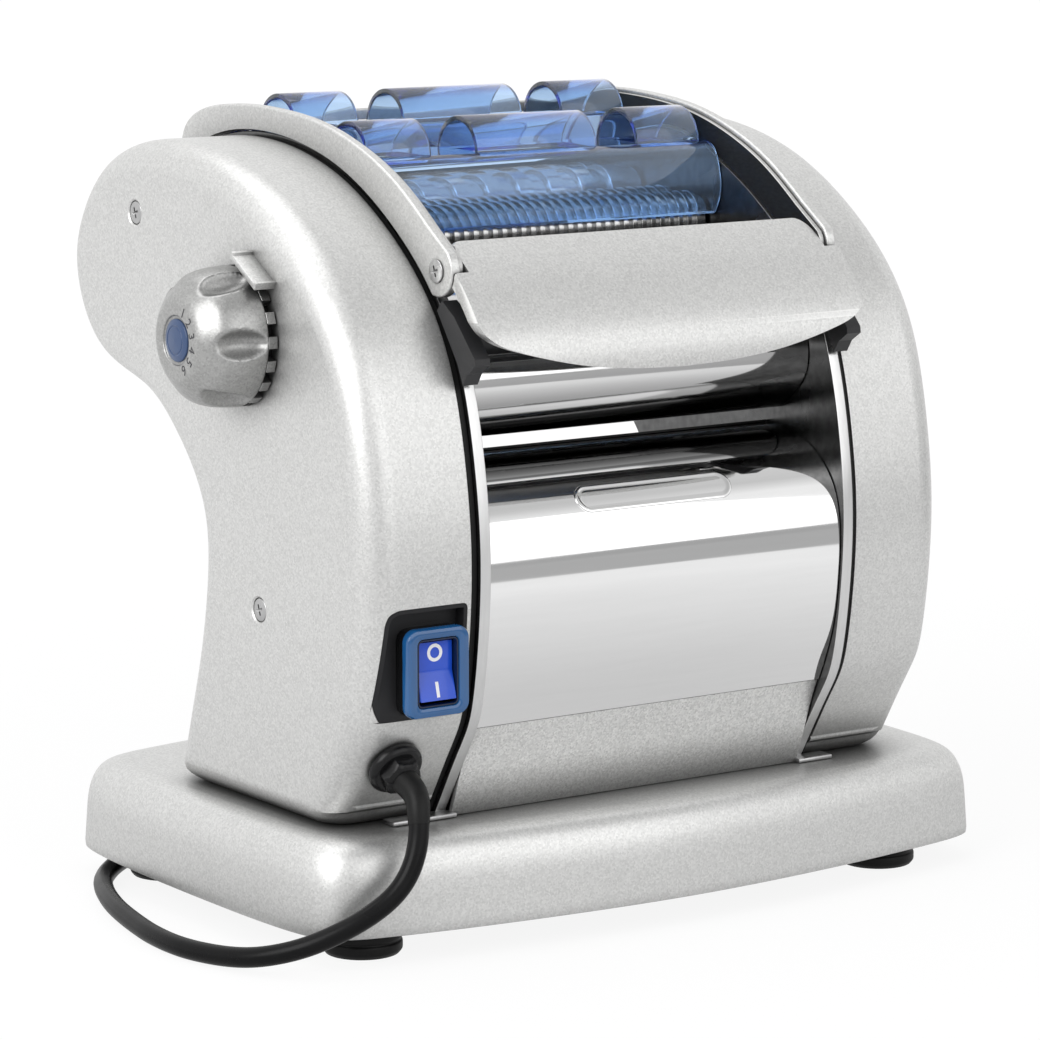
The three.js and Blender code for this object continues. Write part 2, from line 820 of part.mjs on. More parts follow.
function apronFace() {
  const top = sidePoint(apronShares[0]).y + overrun;
  const stepZ = baseTop + apronStepShare * sideRise;
  const topEdge = sidePoint(apronShares[0]).y;
  const belly = new THREE.SplineCurve([
    frontPoint(apronHalf, apronSideShare),
    ...apronBellyShares.map(([share, rise]) => frontPoint(share * apronHalf, rise)),
  ]).getPoints(14);
  const right = [
    new THREE.Vector2(apronNeckHalf - apronCorner, top),
    new THREE.Vector2(apronNeckHalf - apronCorner, topEdge),
    new THREE.Vector2(
      apronNeckHalf - apronCorner * apronCornerShare,
      topEdge - apronCorner * apronCornerShare,
    ),
    new THREE.Vector2(apronNeckHalf, topEdge - apronCorner),
    new THREE.Vector2(apronNeckHalf, stepZ),
    new THREE.Vector2(apronHalf, stepZ),
    ...belly,
  ];
  const left = right.slice(0, -1).reverse().map((p) => new THREE.Vector2(-p.x, p.y));
  return [...right, ...left];
}

// A lug under the apron that carries one end of the hood's axle.
const lugInset = 9.5;
const lugX = bayHalf - lugInset;
const lugThickness = 3;
const lugRound = 7;
const axleRadius = 4.2;

function lugOutline() {
  const middle = besideLine(sideCurve(apronShares, 12).slice(0, 4), -apronThickness / 2);
  const round = circle(pivot, lugRound, 18, Math.PI * 1.05).slice(0, 9);
  return [...middle, ...round];
}

function addApron() {
  const line = sideCurve(apronShares, 12).reverse();
  const plate = sheet(line, apronThickness, apronHalf);
  const deep = sheet(line, apronFlangeDepth, apronHalf);
  const between = apronHalf - apronFlangeWidth;
  const flanges = cut(
    deep,
    block([-between, between], [-sideDepth, sideDepth], [-sideRise, 2 * sideRise]),
  );
  const face = frontSlab(apronFace(), -sideDepth, sideDepth);
  const reliefs = [1, -1].map((side) => {
    const [fromX, toX] = [side * apronNeckHalf, side * (apronHalf + overrun)].sort((a, b) => a - b);
    return rodX(fromX, toX, pivotRound + pivotClearance, pivot, rollSegments);
  });
  const shell = cut(joined(plate, flanges).intersect(face), ...reliefs);
  const lug = cut(
    sideSlab(lugOutline(), lugX, lugX + lugThickness),
    rodX(lugX - overrun, lugX + lugThickness + overrun, axleRadius + gap, pivot, shaftSegments),
  );
  place("apron", joined(shell, lug, mirrored(lug)), silverPaint);
  const bracket = sideSlab(bracketShares.map(sidePoint), bracketInner, cheekOuter + seam - gap);
  place("right_apron_bracket", bracket, darkPlastic);
  place("left_apron_bracket", mirrored(bracket), darkPlastic);
}

const bracketInner = bayHalf + plateStep;
const bracketShares = [
  [-0.344, 0.775],
  [-0.359, 0.7905],
  [-0.396, 0.769],
  [-0.4555, 0.712],
  [-0.457, 0.702],
  [-0.433, 0.688],
  [-0.42, 0.67],
  [-0.405, 0.7],
];

// Hood: two silver arms joined by a bar at the back, with dark liners inside and the clear guard
// between them. It turns about the two front screws.
const armSetBack = 0.5; // from the casing's rim
const armThickness = 3.8;
const armOuter = rimX - armSetBack;
const armInner = armOuter - armThickness;
const armSeat = 2.2; // the arm's lower edge over the side outline
const armShares = [
  [0.49, 0.972],
  [0.471, 1.007],
  [0.405, 1.035],
  [0.295, 1.047],
  [0.181, 1.047],
  [0.038, 1.035],
  [-0.095, 1.005],
  [-0.214, 0.958],
  [-0.314, 0.898],
];
const armSteps = 18;
const linerInner = bayHalf + plateStep;
const linerInset = 1.6;
const linerBackShare = 0.41429;
const rearBarShares = [
  [0.424, 0.982],
  [0.462, 0.962],
  [0.476, 0.988],
  [0.455, 1.008],
  [0.424, 1.022],
];
const hoodScrewHead = 4.2;
const hoodScrewLength = 14;
const axleBore = 8;

function armBlank(edgeInset) {
  const outer = sideCurve(armShares, armSteps);
  const nose = circle(pivot, pivotRound, 24, Math.PI * 0.75).slice(0, 11);
  const blank = [...outer, ...nose, sidePoint([-0.26, 0.74]), sidePoint([0.4, 0.8])];
  return edgeInset ? inset(blank, edgeInset) : blank;
}

function armBand(fromX, toX, edgeInset, seatInset) {
  return cut(
    sideSlab(armBlank(edgeInset), fromX, toX),
    sideSlab(inset(sideOutline, -armSeat - seatInset), fromX - overrun, toX + overrun),
  );
}

function addHood() {
  const screwHole = rodX(linerInner - overrun, armOuter + overrun, screwShank + gap, pivot, screwSegments);
  const armRight = cut(armBand(armInner, armOuter, 0, 0), screwHole);
  const bar = sideSlab(rearBarShares.map(sidePoint), -armInner - weld, armInner + weld);
  place("hood_frame", joined(armRight, mirrored(armRight), bar), silverPaint);
  const barRoom = block([-armOuter, armOuter], [linerBackShare * sideDepth, sideDepth], [0, 2 * sideRise]);
  const liner = cut(armBand(linerInner, armInner - gap, linerInset, 0), screwHole, barRoom);
  place("right_hood_liner", liner, darkPlastic);
  place("left_hood_liner", mirrored(liner), darkPlastic);
  const screw = screwX(armOuter + screwRecess, hoodScrewHead, screwShank, hoodScrewLength, pivot);
  place("right_hood_screw", screw, satinSteel);
  place("left_hood_screw", mirrored(screw), satinSteel);
  const end = linerInner - gap;
  const axleProfile = [
    [-end + axleBore, 0],
    [-end + axleBore, screwShank + gap],
    [-end, screwShank + gap],
    [-end, axleRadius],
    [end, axleRadius],
    [end, screwShank + gap],
    [end - axleBore, screwShank + gap],
    [end - axleBore, 0],
  ];
  place("hood_axle", turnedX(axleProfile, pivot, shaftSegments), gearSteel);
}

// Guard: one clear blue moulding. Two rows of half-round humps bridge slots in its deck.
const guardHalf = bayHalf - gap;
const guardThickness = 2;
const humpRadius = 13.5;
const humpInset = 3.8;
const humpHalf = guardHalf - humpInset;
const humpShares = [
  [-1, -0.6335],
  [-0.361, 0.361],
  [0.613, 1],
];
const humpSpans = humpShares.map(([from, to]) => [from * humpHalf, to * humpHalf]);
const humpSteps = 8;
const guardShares = [
  [-0.081, 0.8635],
  [-0.093, 0.881],
  [-0.1, 0.9065],
  [-0.095, 0.9365],
  [-0.081, 0.9665],
  [-0.058, 0.979],
];
const frontDeck = [sidePoint([-0.058, 0.979]), sidePoint([0.074, 0.981])];
const rearDeck = [sidePoint([0.171, 1.0095]), sidePoint([0.305, 1.0115])];
const guardTail = sidePoint([0.4225, 0.988]);
const slotInset = 2.5;

function guardLine() {
  return [...sideCurve(guardShares, 12), frontDeck[1], ...rearDeck, guardTail];
}

function hump(centre, [fromX, toX]) {
  const arc = (radius) => {
    return Array.from({ length: humpSteps + 1 }, (_, i) => {
      const angle = Math.PI * (1 - i / humpSteps);
      return new THREE.Vector2(centre.x + radius * Math.cos(angle), centre.y + radius * Math.sin(angle));
    });
  };
  const inner = arc(humpRadius - guardThickness).reverse();
  return sideSlab([...arc(humpRadius), ...inner], fromX, toX);
}

function addGuard() {
  let solid = sheet(guardLine(), guardThickness, guardHalf);
  const rows = [frontDeck, rearDeck].map(([from, to]) => from.clone().add(to).multiplyScalar(0.5));
  const reach = humpRadius - slotInset;
  rows.forEach((centre) => {
    humpSpans.forEach(([fromX, toX]) => {
      const slot = block(
        [fromX + slotInset, toX - slotInset],
        [centre.x - reach, centre.x + reach],
        [centre.y - humpRadius, centre.y + weld],
      );
      const seat = new THREE.Vector2(centre.x, centre.y - guardThickness / 2);
      solid = joined(cut(solid, slot), hump(seat, [fromX, toX]));
    });
  });
  place("guard", solid, clearBlue);
}

// Gears in the side view: straight-sided teeth with open backlash.
const addendum = 1;
const dedendum = 1.35;
const toothRootShare = 0.25; // half the tooth's width at its root, as a share of the pitch
const toothTipShare = 0.12;
const pairTeeth = 16;
const pairModule = (2 * rollerRadius + rollerGapWide / 2) / pairTeeth;
const pairAddendum = 0.8;
const pairDedendum = 1.6;
const cutterPairModule = cutterSpacing / pairTeeth;
const layerGap = 0.6; // between a gear and the plate or gear beside it
const pairFace = 5.4; // widths of the gears in the three layers
const driveFace = 7.4;
const layFace = 6;
const layGap = 1;
const gearLayerPair = [cheekOuter + layerGap, cheekOuter + layerGap + pairFace];
const gearLayerDrive = [gearLayerPair[1] + layerGap, gearLayerPair[1] + layerGap + driveFace];
const gearLayerLay = [gearLayerDrive[1] + layGap, gearLayerDrive[1] + layGap + layFace];
const studRadius = 3;
const gearHub = 8;

function gearShape(centre, teeth, pitchRadius, phase, add, ded) {
  const pitch = (2 * Math.PI) / teeth;
  const outline = [];
  for (let i = 0; i < teeth; i += 1) {
    const middle = phase + i * pitch;
    [
      [-toothRootShare, pitchRadius - ded],
      [-toothTipShare, pitchRadius + add],
      [toothTipShare, pitchRadius + add],
      [toothRootShare, pitchRadius - ded],
    ].forEach(([share, radius]) => {
      const angle = middle + share * pitch;
      outline.push(
        new THREE.Vector2(centre.x + radius * Math.cos(angle), centre.y + radius * Math.sin(angle)),
      );
    });
  }
  return outline;
}

// The phase that puts a gap of the second gear over a tooth of the first where they meet.
function meshPhase(first, firstTeeth, firstPhase, second, secondTeeth) {
  const angle = Math.atan2(second.y - first.y, second.x - first.x);
  const firstPitch = (2 * Math.PI) / firstTeeth;
  const secondPitch = (2 * Math.PI) / secondTeeth;
  const share = (angle - firstPhase) / firstPitch;
  return angle + Math.PI - (0.5 - share) * secondPitch;
}

function gear({ centre, teeth, module, phase, layer, bore, add = addendum, ded = dedendum }) {
  const outline = gearShape(centre, teeth, (module * teeth) / 2, phase, add, ded);
  const solid = sideSlab(outline, layer[0], layer[1]);
  if (!bore) return solid;
  return cut(solid, rodX(layer[0] - overrun, layer[1] + overrun, bore, centre, shaftSegments));
}

const fixedPhase = 0;
const mainPhase = meshPhase(fixedAxis, fixedTeeth, fixedPhase, mainAxis, mainTeeth);
const narrowPhase = meshPhase(mainAxis, mainTeeth, mainPhase, narrowRear, cutterTeeth);
const widePhase = meshPhase(narrowRear, cutterTeeth, narrowPhase, wideFront, cutterTeeth);
const layPhase = meshPhase(mainAxis, mainTeeth, mainPhase, layAxis, layTeeth);
const layWheelPhase = 0;
const pinionPhase = meshPhase(layAxis, layWheelTeeth, layWheelPhase, motorAxis, pinionTeeth);
const slidingPhase = meshPhase(fixedAxis, pairTeeth, 0, slidingAxis, pairTeeth);
const narrowMatePhase = meshPhase(narrowRear, pairTeeth, 0, narrowFront, pairTeeth);
const wideMatePhase = meshPhase(wideFront, pairTeeth, 0, wideRear, pairTeeth);

// Rolls: each turns in the side plates; its mate's gear is cut on the end of its own shaft.
const rollEndGap = 1.2;
const rollHalf = bayHalf - rollEndGap;
const shaftInLeft = seam - gap;
const shaftProud = 1.5; // a driven shaft's end stands out past its gear
const driveShaftEnd = gearLayerDrive[1] + shaftProud;

function rollBlank(radius, shaft, centre, rightEnd, segments) {
  const profile = [
    [-cheekOuter - shaftInLeft, 0],
    [-cheekOuter - shaftInLeft, shaft],
    [-rollHalf, shaft],
    [-rollHalf, radius],
    [rollHalf, radius],
    [rollHalf, shaft],
    [rightEnd, shaft],
    [rightEnd, 0],
  ];
  return turnedX(profile, centre, segments);
}

// A cutter's discs: ribs and grooves of equal width, so that one roll's ribs run in its mate's grooves.
function cutterRoll(ribs, offset, centre, rightEnd) {
  const pitch = (2 * rollHalf) / ribs;
  const root = cutterRadius - grooveDepth;
  const profile = [
    [-cheekOuter - shaftInLeft, 0],
    [-cheekOuter - shaftInLeft, cutterShaft],
    [-rollHalf, cutterShaft],
    [-rollHalf, root],
  ];
  for (let i = 0; i < ribs; i += 1) {
    const start = -rollHalf + (i + offset) * pitch + ribGap;
    const end = start + pitch / 2 - 2 * ribGap;
    profile.push([start, root], [start, cutterRadius], [end, cutterRadius], [end, root]);
  }
  profile.push([rollHalf, root], [rollHalf, cutterShaft], [rightEnd, cutterShaft], [rightEnd, 0]);
  return turnedX(profile, centre, cutterSegments);
}

const grooveDepth = 1.6;
const ribGap = 0.25;
const cutterSegments = 8;
const narrowRibs = 8;
const wideRibs = 4;

function addRolls() {
  const fixed = rollBlank(rollerRadius, rollerShaft, fixedAxis, driveShaftEnd, rollSegments);
  place("smooth_roller_fixed", fixed, polishedSteel);
  const mateEnd = gearLayerPair[1];
  const mateGear = (centre, teeth, module, phase, add, ded) => {
    return gear({ centre, teeth, module, phase, layer: gearLayerPair, add, ded });
  };
  const sliding = rollBlank(rollerRadius, rollerShaft, slidingAxis, mateEnd - gap, rollSegments);
  const slidingGear = mateGear(slidingAxis, pairTeeth, pairModule, slidingPhase, pairAddendum, pairDedendum);
  place("smooth_roller_sliding", joined(sliding, slidingGear), polishedSteel);
  const narrowMate = mateGear(narrowFront, pairTeeth, cutterPairModule, narrowMatePhase);
  const narrow = cutterRoll(narrowRibs, 0, narrowFront, mateEnd - gap);
  place("narrow_cutter_front", joined(narrow, narrowMate), satinSteel);
  place("narrow_cutter_rear", cutterRoll(narrowRibs, 0.5, narrowRear, driveShaftEnd), satinSteel);
  place("wide_cutter_front", cutterRoll(wideRibs, 0, wideFront, driveShaftEnd), satinSteel);
  const wideMate = mateGear(wideRear, pairTeeth, cutterPairModule, wideMatePhase);
  const wide = cutterRoll(wideRibs, 0.5, wideRear, mateEnd - gap);
  place("wide_cutter_rear", joined(wide, wideMate), satinSteel);
}

// Gear train in the right casing: motor pinion, lay wheel, main gear, and a double gear on each driven roll.
function doubleGear(centre, pairSet, driveSet, bore) {
  const pair = gear({ centre, layer: gearLayerPair, bore, ...pairSet });
  const drive = gear({ centre, layer: gearLayerDrive, bore, ...driveSet });
  const hub = ringX(gearLayerPair[1] - weld, gearLayerDrive[0] + weld, bore, gearHub, centre, shaftSegments);
  return joined(pair, hub, drive);
}

function addGearTrain() {
  const smoothPair = {
    teeth: pairTeeth,
    module: pairModule,
    phase: 0,
    add: pairAddendum,
    ded: pairDedendum,
  };
  const cutterPair = { teeth: pairTeeth, module: cutterPairModule, phase: 0 };
  const drive = (teeth, phase) => ({ teeth, module: driveModule, phase });
  const rollerGear = doubleGear(fixedAxis, smoothPair, drive(fixedTeeth, fixedPhase), rollerShaft + gap);
  place("roller_gear", rollerGear, gearSteel);
  const cutterBore = cutterShaft + gap;
  const narrowGear = doubleGear(narrowRear, cutterPair, drive(cutterTeeth, narrowPhase), cutterBore);
  place("narrow_cutter_gear", narrowGear, gearSteel);
  const wideGear = doubleGear(wideFront, cutterPair, drive(cutterTeeth, widePhase), cutterBore);
  place("wide_cutter_gear", wideGear, gearSteel);

  const mainGear = gear({ centre: mainAxis, layer: gearLayerDrive, ...drive(mainTeeth, mainPhase) });
  const mainHub = stud(mainAxis, gearLayerDrive[0] + weld, 0);
  place("main_gear", joined(mainGear, mainHub), gearSteel);
  const small = gear({
    centre: layAxis,
    layer: [gearLayerDrive[0], gearLayerLay[0] + weld],
    ...drive(layTeeth, layPhase),
  });
  const large = gear({
    centre: layAxis,
    teeth: layWheelTeeth,
    module: layModule,
    phase: layWheelPhase,
    layer: gearLayerLay,
  });
  place("lay_gear", joined(small, large, stud(layAxis, gearLayerDrive[0] + weld, 0)), gearSteel);
  const pinion = gear({
    centre: motorAxis,
    teeth: pinionTeeth,
    module: layModule,
    phase: pinionPhase,
    layer: gearLayerLay,
  });
  const pinionShaft = rodX(bayHalf, gearLayerLay[0] + weld, motorShaft, motorAxis, shaftSegments);
  place("motor_pinion", joined(pinion, pinionShaft), gearSteel);
}

// The stub axle of a gear, which turns in its hole in the side plate.
function stud(centre, outX) {
  return rodX(bayHalf + gap, outX, studRadius, centre, shaftSegments);
}

// Motor with its reduction gearbox, under the lower cover on the right side plate.
const motorRadius = 27;
const motorLength = 96;
const gearboxRadius = 24;
const gearboxLength = 26;
const motorNoseRadius = 9;
const motorShaft = 3;

function addMotor() {
  const nose = cheekOuter - gap;
  const back = bayHalf - gap;
  const profile = [
    [back - motorLength, 0],
    [back - motorLength, motorShaft + gap],
    [back - motorLength + overrun, motorRadius],
    [back - gearboxLength, motorRadius],
    [back - gearboxLength, gearboxRadius],
    [back, gearboxRadius],
    [back, motorNoseRadius],
    [nose, motorNoseRadius],
    [nose, motorShaft + gap],
    [bayHalf - overrun, motorShaft + gap],
    [bayHalf - overrun, 0],
  ];
  place("motor", turnedX(profile, motorAxis, rollSegments), gearSteel);
}

// Comb: a bar with fingers that lifts the strips off the narrow cutters.
const combBar = 5;
const combClearance = 1.5;
const combTop = narrowFront.y - cutterRadius - combClearance;

function addComb() {
  const middle = (narrowFront.x + narrowRear.x) / 2;
  const bar = block(
    [-coverHalf, coverHalf],
    [middle + cutterRadius, middle + cutterRadius + combBar],
    [combTop - combBar, combTop],
  );
  place("cutter_comb", bar, satinSteel);
}

// Thickness adjuster: the knob turns a spindle and the bush that carries the sliding roller's bearing.
const spindleRadius = 5;
const spindleFlange = 6;
const capRadius = 7.6;
const capDepth = 2;
const capCrown = 0.6; // how far the cap's middle stands out
const capEdgeCrown = 0.4;
const capFlatShare = 0.8; // of the cap's radius
const knobStandOff = 0.5;
const knobStart = -faceX - knobStandOff;
const knobFace = knobStart - knobLength;
const skirtDepth = 6;
const castleDepth = 3.4;
const castleTeeth = 18;
const castleNotch = 2;
const knobFrontShare = 0.62; // the front's radius as a share of the skirt's
const scallops = 6;
const scallopRadius = 11;
const scallopDeepShare = 0.68; // it is an egg shape: flatter towards the axis and narrower round it
const scallopWideShare = 0.55;
const scallopReachShare = 1.06;
const scallopDepthShare = 0.39; // its middle along the knob's length
const scallopStretchShare = 1.15;
const knobShoulderShares = [0.25, 0.8]; // along the knob, and out from its front to its skirt
const knobBore = spindleRadius + gap;
const knobTravel = 4; // the knob pulls out this far before it turns

function knobSolid() {
  const castle = gearShape(
    adjusterAxis,
    castleTeeth,
    knobRadius - castleNotch,
    0,
    castleNotch,
    0,
  );
  const ring = sideSlab(castle, knobStart - castleDepth, knobStart);
  const front = knobRadius * knobFrontShare;
  const profile = [
    [knobFace, 0],
    [knobFace, front - capDepth],
    [knobFace + capDepth, front],
    [
      knobFace + knobShoulderShares[0] * knobLength,
      front + knobShoulderShares[1] * (knobRadius - front),
    ],
    [knobStart - skirtDepth - capDepth, knobRadius - capDepth],
    [knobStart - skirtDepth, knobRadius],
    [knobStart - castleDepth + weld, knobRadius],
    [knobStart - castleDepth + weld, 0],
  ];
  const body = turnedX(profile, adjusterAxis, rollSegments);
  const bites = Array.from({ length: scallops }, (_, i) => {
    const angle = (i / scallops) * 2 * Math.PI;
    const geometry = new THREE.SphereGeometry(scallopRadius, 8, 6);
    geometry.scale(scallopStretchShare, scallopDeepShare, scallopWideShare);
    geometry.rotateX(angle);
    geometry.translate(
      knobFace + scallopDepthShare * knobLength,
      adjusterAxis.x + Math.cos(angle) * knobRadius * scallopReachShare,
      adjusterAxis.y + Math.sin(angle) * knobRadius * scallopReachShare,
    );
    return solidFrom(geometry);
  });
  const bore = rodX(knobFace + skirtDepth, knobStart + overrun, knobBore, adjusterAxis, shaftSegments);
  const capSeat = rodX(knobFace - overrun, knobFace + capDepth, capRadius + gap, adjusterAxis, rollSegments);
  return cut(joined(ring, body), ...bites, bore, capSeat);
}

function addAdjuster() {
  place("knob", knobSolid(), silverPaint);
  const capProfile = [
    [knobFace - capCrown, 0],
    [knobFace - capEdgeCrown, capRadius * capFlatShare],
    [knobFace, capRadius],
    [knobFace + capDepth - gap, capRadius],
    [knobFace + capDepth - gap, 0],
  ];
  place("knob_cap", turnedX(capProfile, adjusterAxis, rollSegments), capBlue);
  const spindleEnd = knobFace + skirtDepth + knobTravel + gap;
  const spindleProfile = [
    [spindleEnd, 0],
    [spindleEnd, spindleRadius],
    [-rimX - spindleFlange, spindleRadius],
    [-rimX - spindleFlange, bushRadius],
    [-bayHalf, bushRadius],
    [-bayHalf, bushBore],
    [-rimX, bushBore],
    [-rimX, 0],
  ];
  place("adjuster_spindle", turnedX(spindleProfile, adjusterAxis, shaftSegments), satinSteel);
  const sleeve = ringX(bayHalf, cheekOuter, rollerShaft + gap, sleeveRadius, slidingAxis, rollSegments);
  place("right_roller_bearing", sleeve, gearSteel);
  place("left_roller_bearing", mirrored(sleeve), gearSteel);
}

// Rocker switch: a blue rubber boot over a black body, and a blue rocker that rests with its top pressed.
const bootThickness = 3.5;
const bootCorner = 4.5;
const windowWidth = 16.8;
const windowHeight = 23.9;
const windowCorner = 2;
const switchBodyDepth = 27.5; // behind the recess's floor
const switchBodyBack = recessFloorY + switchBodyDepth;
const switchWellDepth = 11;
const switchWellY = bootFrontY + switchWellDepth;
const rockerWidth = 14.8;
const rockerHeight = 20.3;
const rockerDepth = 5;
const rockerDip = 1.3; // how far the rocker's face falls in at its middle
const rockerPivotDepth = 4.1; // behind the boot's face
const rockerPivotY = bootFrontY + rockerPivotDepth;
const rockerLean = (8 * Math.PI) / 180;

function addSwitch() {
  const bootOutline = roundedBox(switchCentre, bootWidth, bootHeight, bootCorner);
  const windowOutline = roundedBox(switchCentre, windowWidth, windowHeight, windowCorner);
  const bodyFront = bootFrontY + bootThickness + gap;
  const boot = cut(
    frontSlab(bootOutline, bootFrontY, bodyFront - gap),
    frontSlab(windowOutline, bootFrontY - overrun, bodyFront),
  );
  place("switch_boot", boot, blueBoot);
  const body = joined(
    frontSlab(inset(bootOutline, gap), bodyFront, recessFloorY - gap),
    frontSlab(
      roundedBox(switchCentre, switchBodyWidth, switchBodyHeight, bootCorner),
      recessFloorY - gap - weld,
      switchBodyBack,
    ),
  );
  place("switch_body", cut(body, frontSlab(windowOutline, -sideDepth, switchWellY)), blackPlastic);
  const half = rockerHeight / 2;
  const front = -rockerDepth / 2;
  const axis = new THREE.Vector2(rockerPivotY, switchCentre.y);
  const outline = [
    [-front, -half],
    [-front, half],
    [front, half],
    [front + rockerDip, 0],
    [front, -half],
  ].map(([y, z]) => new THREE.Vector2(y, z).rotateAround(new THREE.Vector2(), -rockerLean).add(axis));
  const [fromX, toX] = [switchCentre.x - rockerWidth / 2, switchCentre.x + rockerWidth / 2];
  place("switch_rocker", sideSlab(outline, fromX, toX), blueSwitch);
}

// Mains cord. It falls from its gland in front of the base, sweeps round the front left corner, lies
// along the left side and passes under the rear left corner to a coil behind the machine.
const coilCentre = new THREE.Vector2(30, 177.88);
const coilTurnsEachWay = 2.5; // in on the lower layer, then out again on the upper one
const coilSteps = 20; // of each turn
const coilSides = 6;
const coilSpacing = 0.6; // between neighbouring turns
const coilMiddle = 11.8 * cordRadius; // radius at the middle of the turns
const tieBand = 0.8;
const tieWidth = 8;
const coilLift = tieBand + gap + cordRadius; // the lower turns lie on the tie
const coilTail = 30;
const cordStep = 19;
const cordSides = 8;
const cordRoute = [
  [-108, -87.9, 63.7],
  [-108, -94.2, 60.2],
  [-109.2, -97.8, 54.6],
  [-110.2, -99.4, 48],
  [-112.2, -100.4, 41],
  [-115.6, -100.6, 34],
  [-121, -99.9, 27.6],
  [-128.5, -98, 22],
  [-137.5, -94.5, 16.8],
  [-147.2, -88.2, 11.6],
  [-156, -79, 7.6],
  [-163, -66.5, 5],
  [-168, -50, 3.9],
  [-170.2, -35, 3.7],
  [-169.8, -20, 3.7],
  [-167.6, -5, 3.7],
  [-161.5, 22, 3.7],
  [-152, 48, 3.7],
  [-143.5, 63, 3.7],
  [-134.5, 73.8, 3.7],
  [-126.3, 81.6, 3.7],
  [-117, 88.3, 3.7],
  [-104, 95, 3.7],
  [-88, 101.5, 3.7],
  [-68, 108.6, 3.7],
  [-46, 115.8, 3.7],
  [-26, 121.3, 3.8],
  [-8, 124.5, 4.2],
  [6, 125.5, 4.7],
  [14, 125.65, 4.7],
  [22.5, 125.65, 4.7],
].map(([x, y, z]) => new THREE.Vector3(x, y, z));

function coilPath() {
  const pitch = 2 * cordRadius + coilSpacing;
  const innermost = coilMiddle - (pitch * coilTurnsEachWay) / 2;
  const points = Array.from({ length: 2 * coilTurnsEachWay * coilSteps + 1 }, (_, i) => {
    const turn = i / coilSteps - coilTurnsEachWay;
    const angle = (i / coilSteps - 0.25) * 2 * Math.PI;
    const radius = innermost + pitch * Math.abs(turn);
    const climb = THREE.MathUtils.clamp(2 * turn + 0.5, 0, 1);
    return new THREE.Vector3(
      coilCentre.x + radius * Math.cos(angle),
      coilCentre.y + radius * Math.sin(angle),
      coilLift + climb * pitch,
    );
  });
  const [first, last] = [points[0], points[points.length - 1]];
  const lead = first.clone().addScaledVector(axisX, -2 * cordRadius);
  return [lead, ...points, last.clone().addScaledVector(axisX, coilTail)];
}

// A closed tube through a list of points, its rings square to the path and upright.
function tube(points, radius, sides) {
  const positions = [];
  const corners = [];
  points.forEach((point, i) => {
    const before = points[Math.max(i - 1, 0)];
    const after = points[Math.min(i + 1, points.length - 1)];
    const along = after.clone().sub(before).normalize();
    const side = along.clone().cross(axisZ).normalize();
    const up = side.clone().cross(along);
    for (let k = 0; k < sides; k += 1) {
      const angle = (k / sides) * 2 * Math.PI;
      const corner = point
        .clone()
        .addScaledVector(side, radius * Math.cos(angle))
        .addScaledVector(up, radius * Math.sin(angle));
      positions.push(corner.x, corner.y, corner.z);
    }
  });
  for (let ring = 0; ring + 1 < points.length; ring += 1) {
    for (let k = 0; k < sides; k += 1) {
      const [a, b] = [ring * sides + k, ring * sides + ((k + 1) % sides)];
      corners.push(a, b + sides, b, a, a + sides, b + sides);
    }
  }
  const end = (points.length - 1) * sides;
  for (let k = 1; k + 1 < sides; k += 1) {
    corners.push(0, k, k + 1, end, end + k + 1, end + k);
  }
  const geometry = new THREE.BufferGeometry();
  geometry.setAttribute("position", new THREE.Float32BufferAttribute(positions, 3));
  geometry.setIndex(corners);
  return geometry;
}

// The least gap between stretches of a coil that aren't next to each other along it.
function leastGap(points, radius) {
  const apart = coilSteps / 2;
  let least = Infinity;
  points.forEach((point, i) => {
    points.slice(i + apart).forEach((other) => {
      least = Math.min(least, point.distanceTo(other) - 2 * radius);
    });
  });
  return least;
}

function addCord() {
  place("cord_gland", glandShape(glandProfile, rollSegments), blackPlastic);
  const route = new THREE.CatmullRomCurve3(cordRoute);
  const section = new THREE.Shape(circle(new THREE.Vector2(), cordRadius, cordSides));
  const stretch = new THREE.ExtrudeGeometry(section, {
    steps: Math.round(route.getLength() / cordStep),
    extrudePath: route,
    bevelEnabled: false,
  });
  place("cord", solidFrom(stretch), cordBlack);
  const path = coilPath();
  console.log("least gap of the coil to itself, mm:", leastGap(path, cordRadius).toFixed(2));
  place("cord_coil", solidFrom(tube(path, cordRadius, coilSides)), cordBlack);
  const lengths = path.slice(1).map((point, i) => point.distanceTo(path[i]));
  const wound = lengths.reduce((sum, length) => sum + length);
  console.log("cord length, mm:", Math.round(route.getLength() + wound));
  addTie();
  addPlug(path[path.length - 1]);
}

const glandProfile = [
  [-2 * casingWall, 0],
  [-2 * casingWall, glandThread],
  [glandSeat, glandThread],
  [glandSeat, glandCollar],
  [glandCollarLength, glandCollar],
  [glandCollarLength, glandNose],
  [glandCollarLength + glandNoseLength, glandNoseTip],
  [glandCollarLength + glandNoseLength, 0],
];

// The tie: a flat band round all turns, at the back of the coil.
function addTie() {
  const reach = coilMiddle + (2 * cordRadius + coilSpacing) * (coilTurnsEachWay / 2);
  const room = gap + cordRadius;
  const near = coilCentre.y + 2 * coilMiddle - reach - room - gap;
  const far = coilCentre.y + reach + room;
  const low = coilLift - room;
  const high = coilLift + 2 * cordRadius + coilSpacing + room;
  const span = [coilCentre.x - tieWidth / 2, coilCentre.x + tieWidth / 2];
  const band = cut(
    block(span, [near - tieBand, far + tieBand], [low - tieBand, high + tieBand]),
    block([span[0] - overrun, span[1] + overrun], [near, far], [low, high]),
  );
  place("cord_tie", band, blackRubber);
}

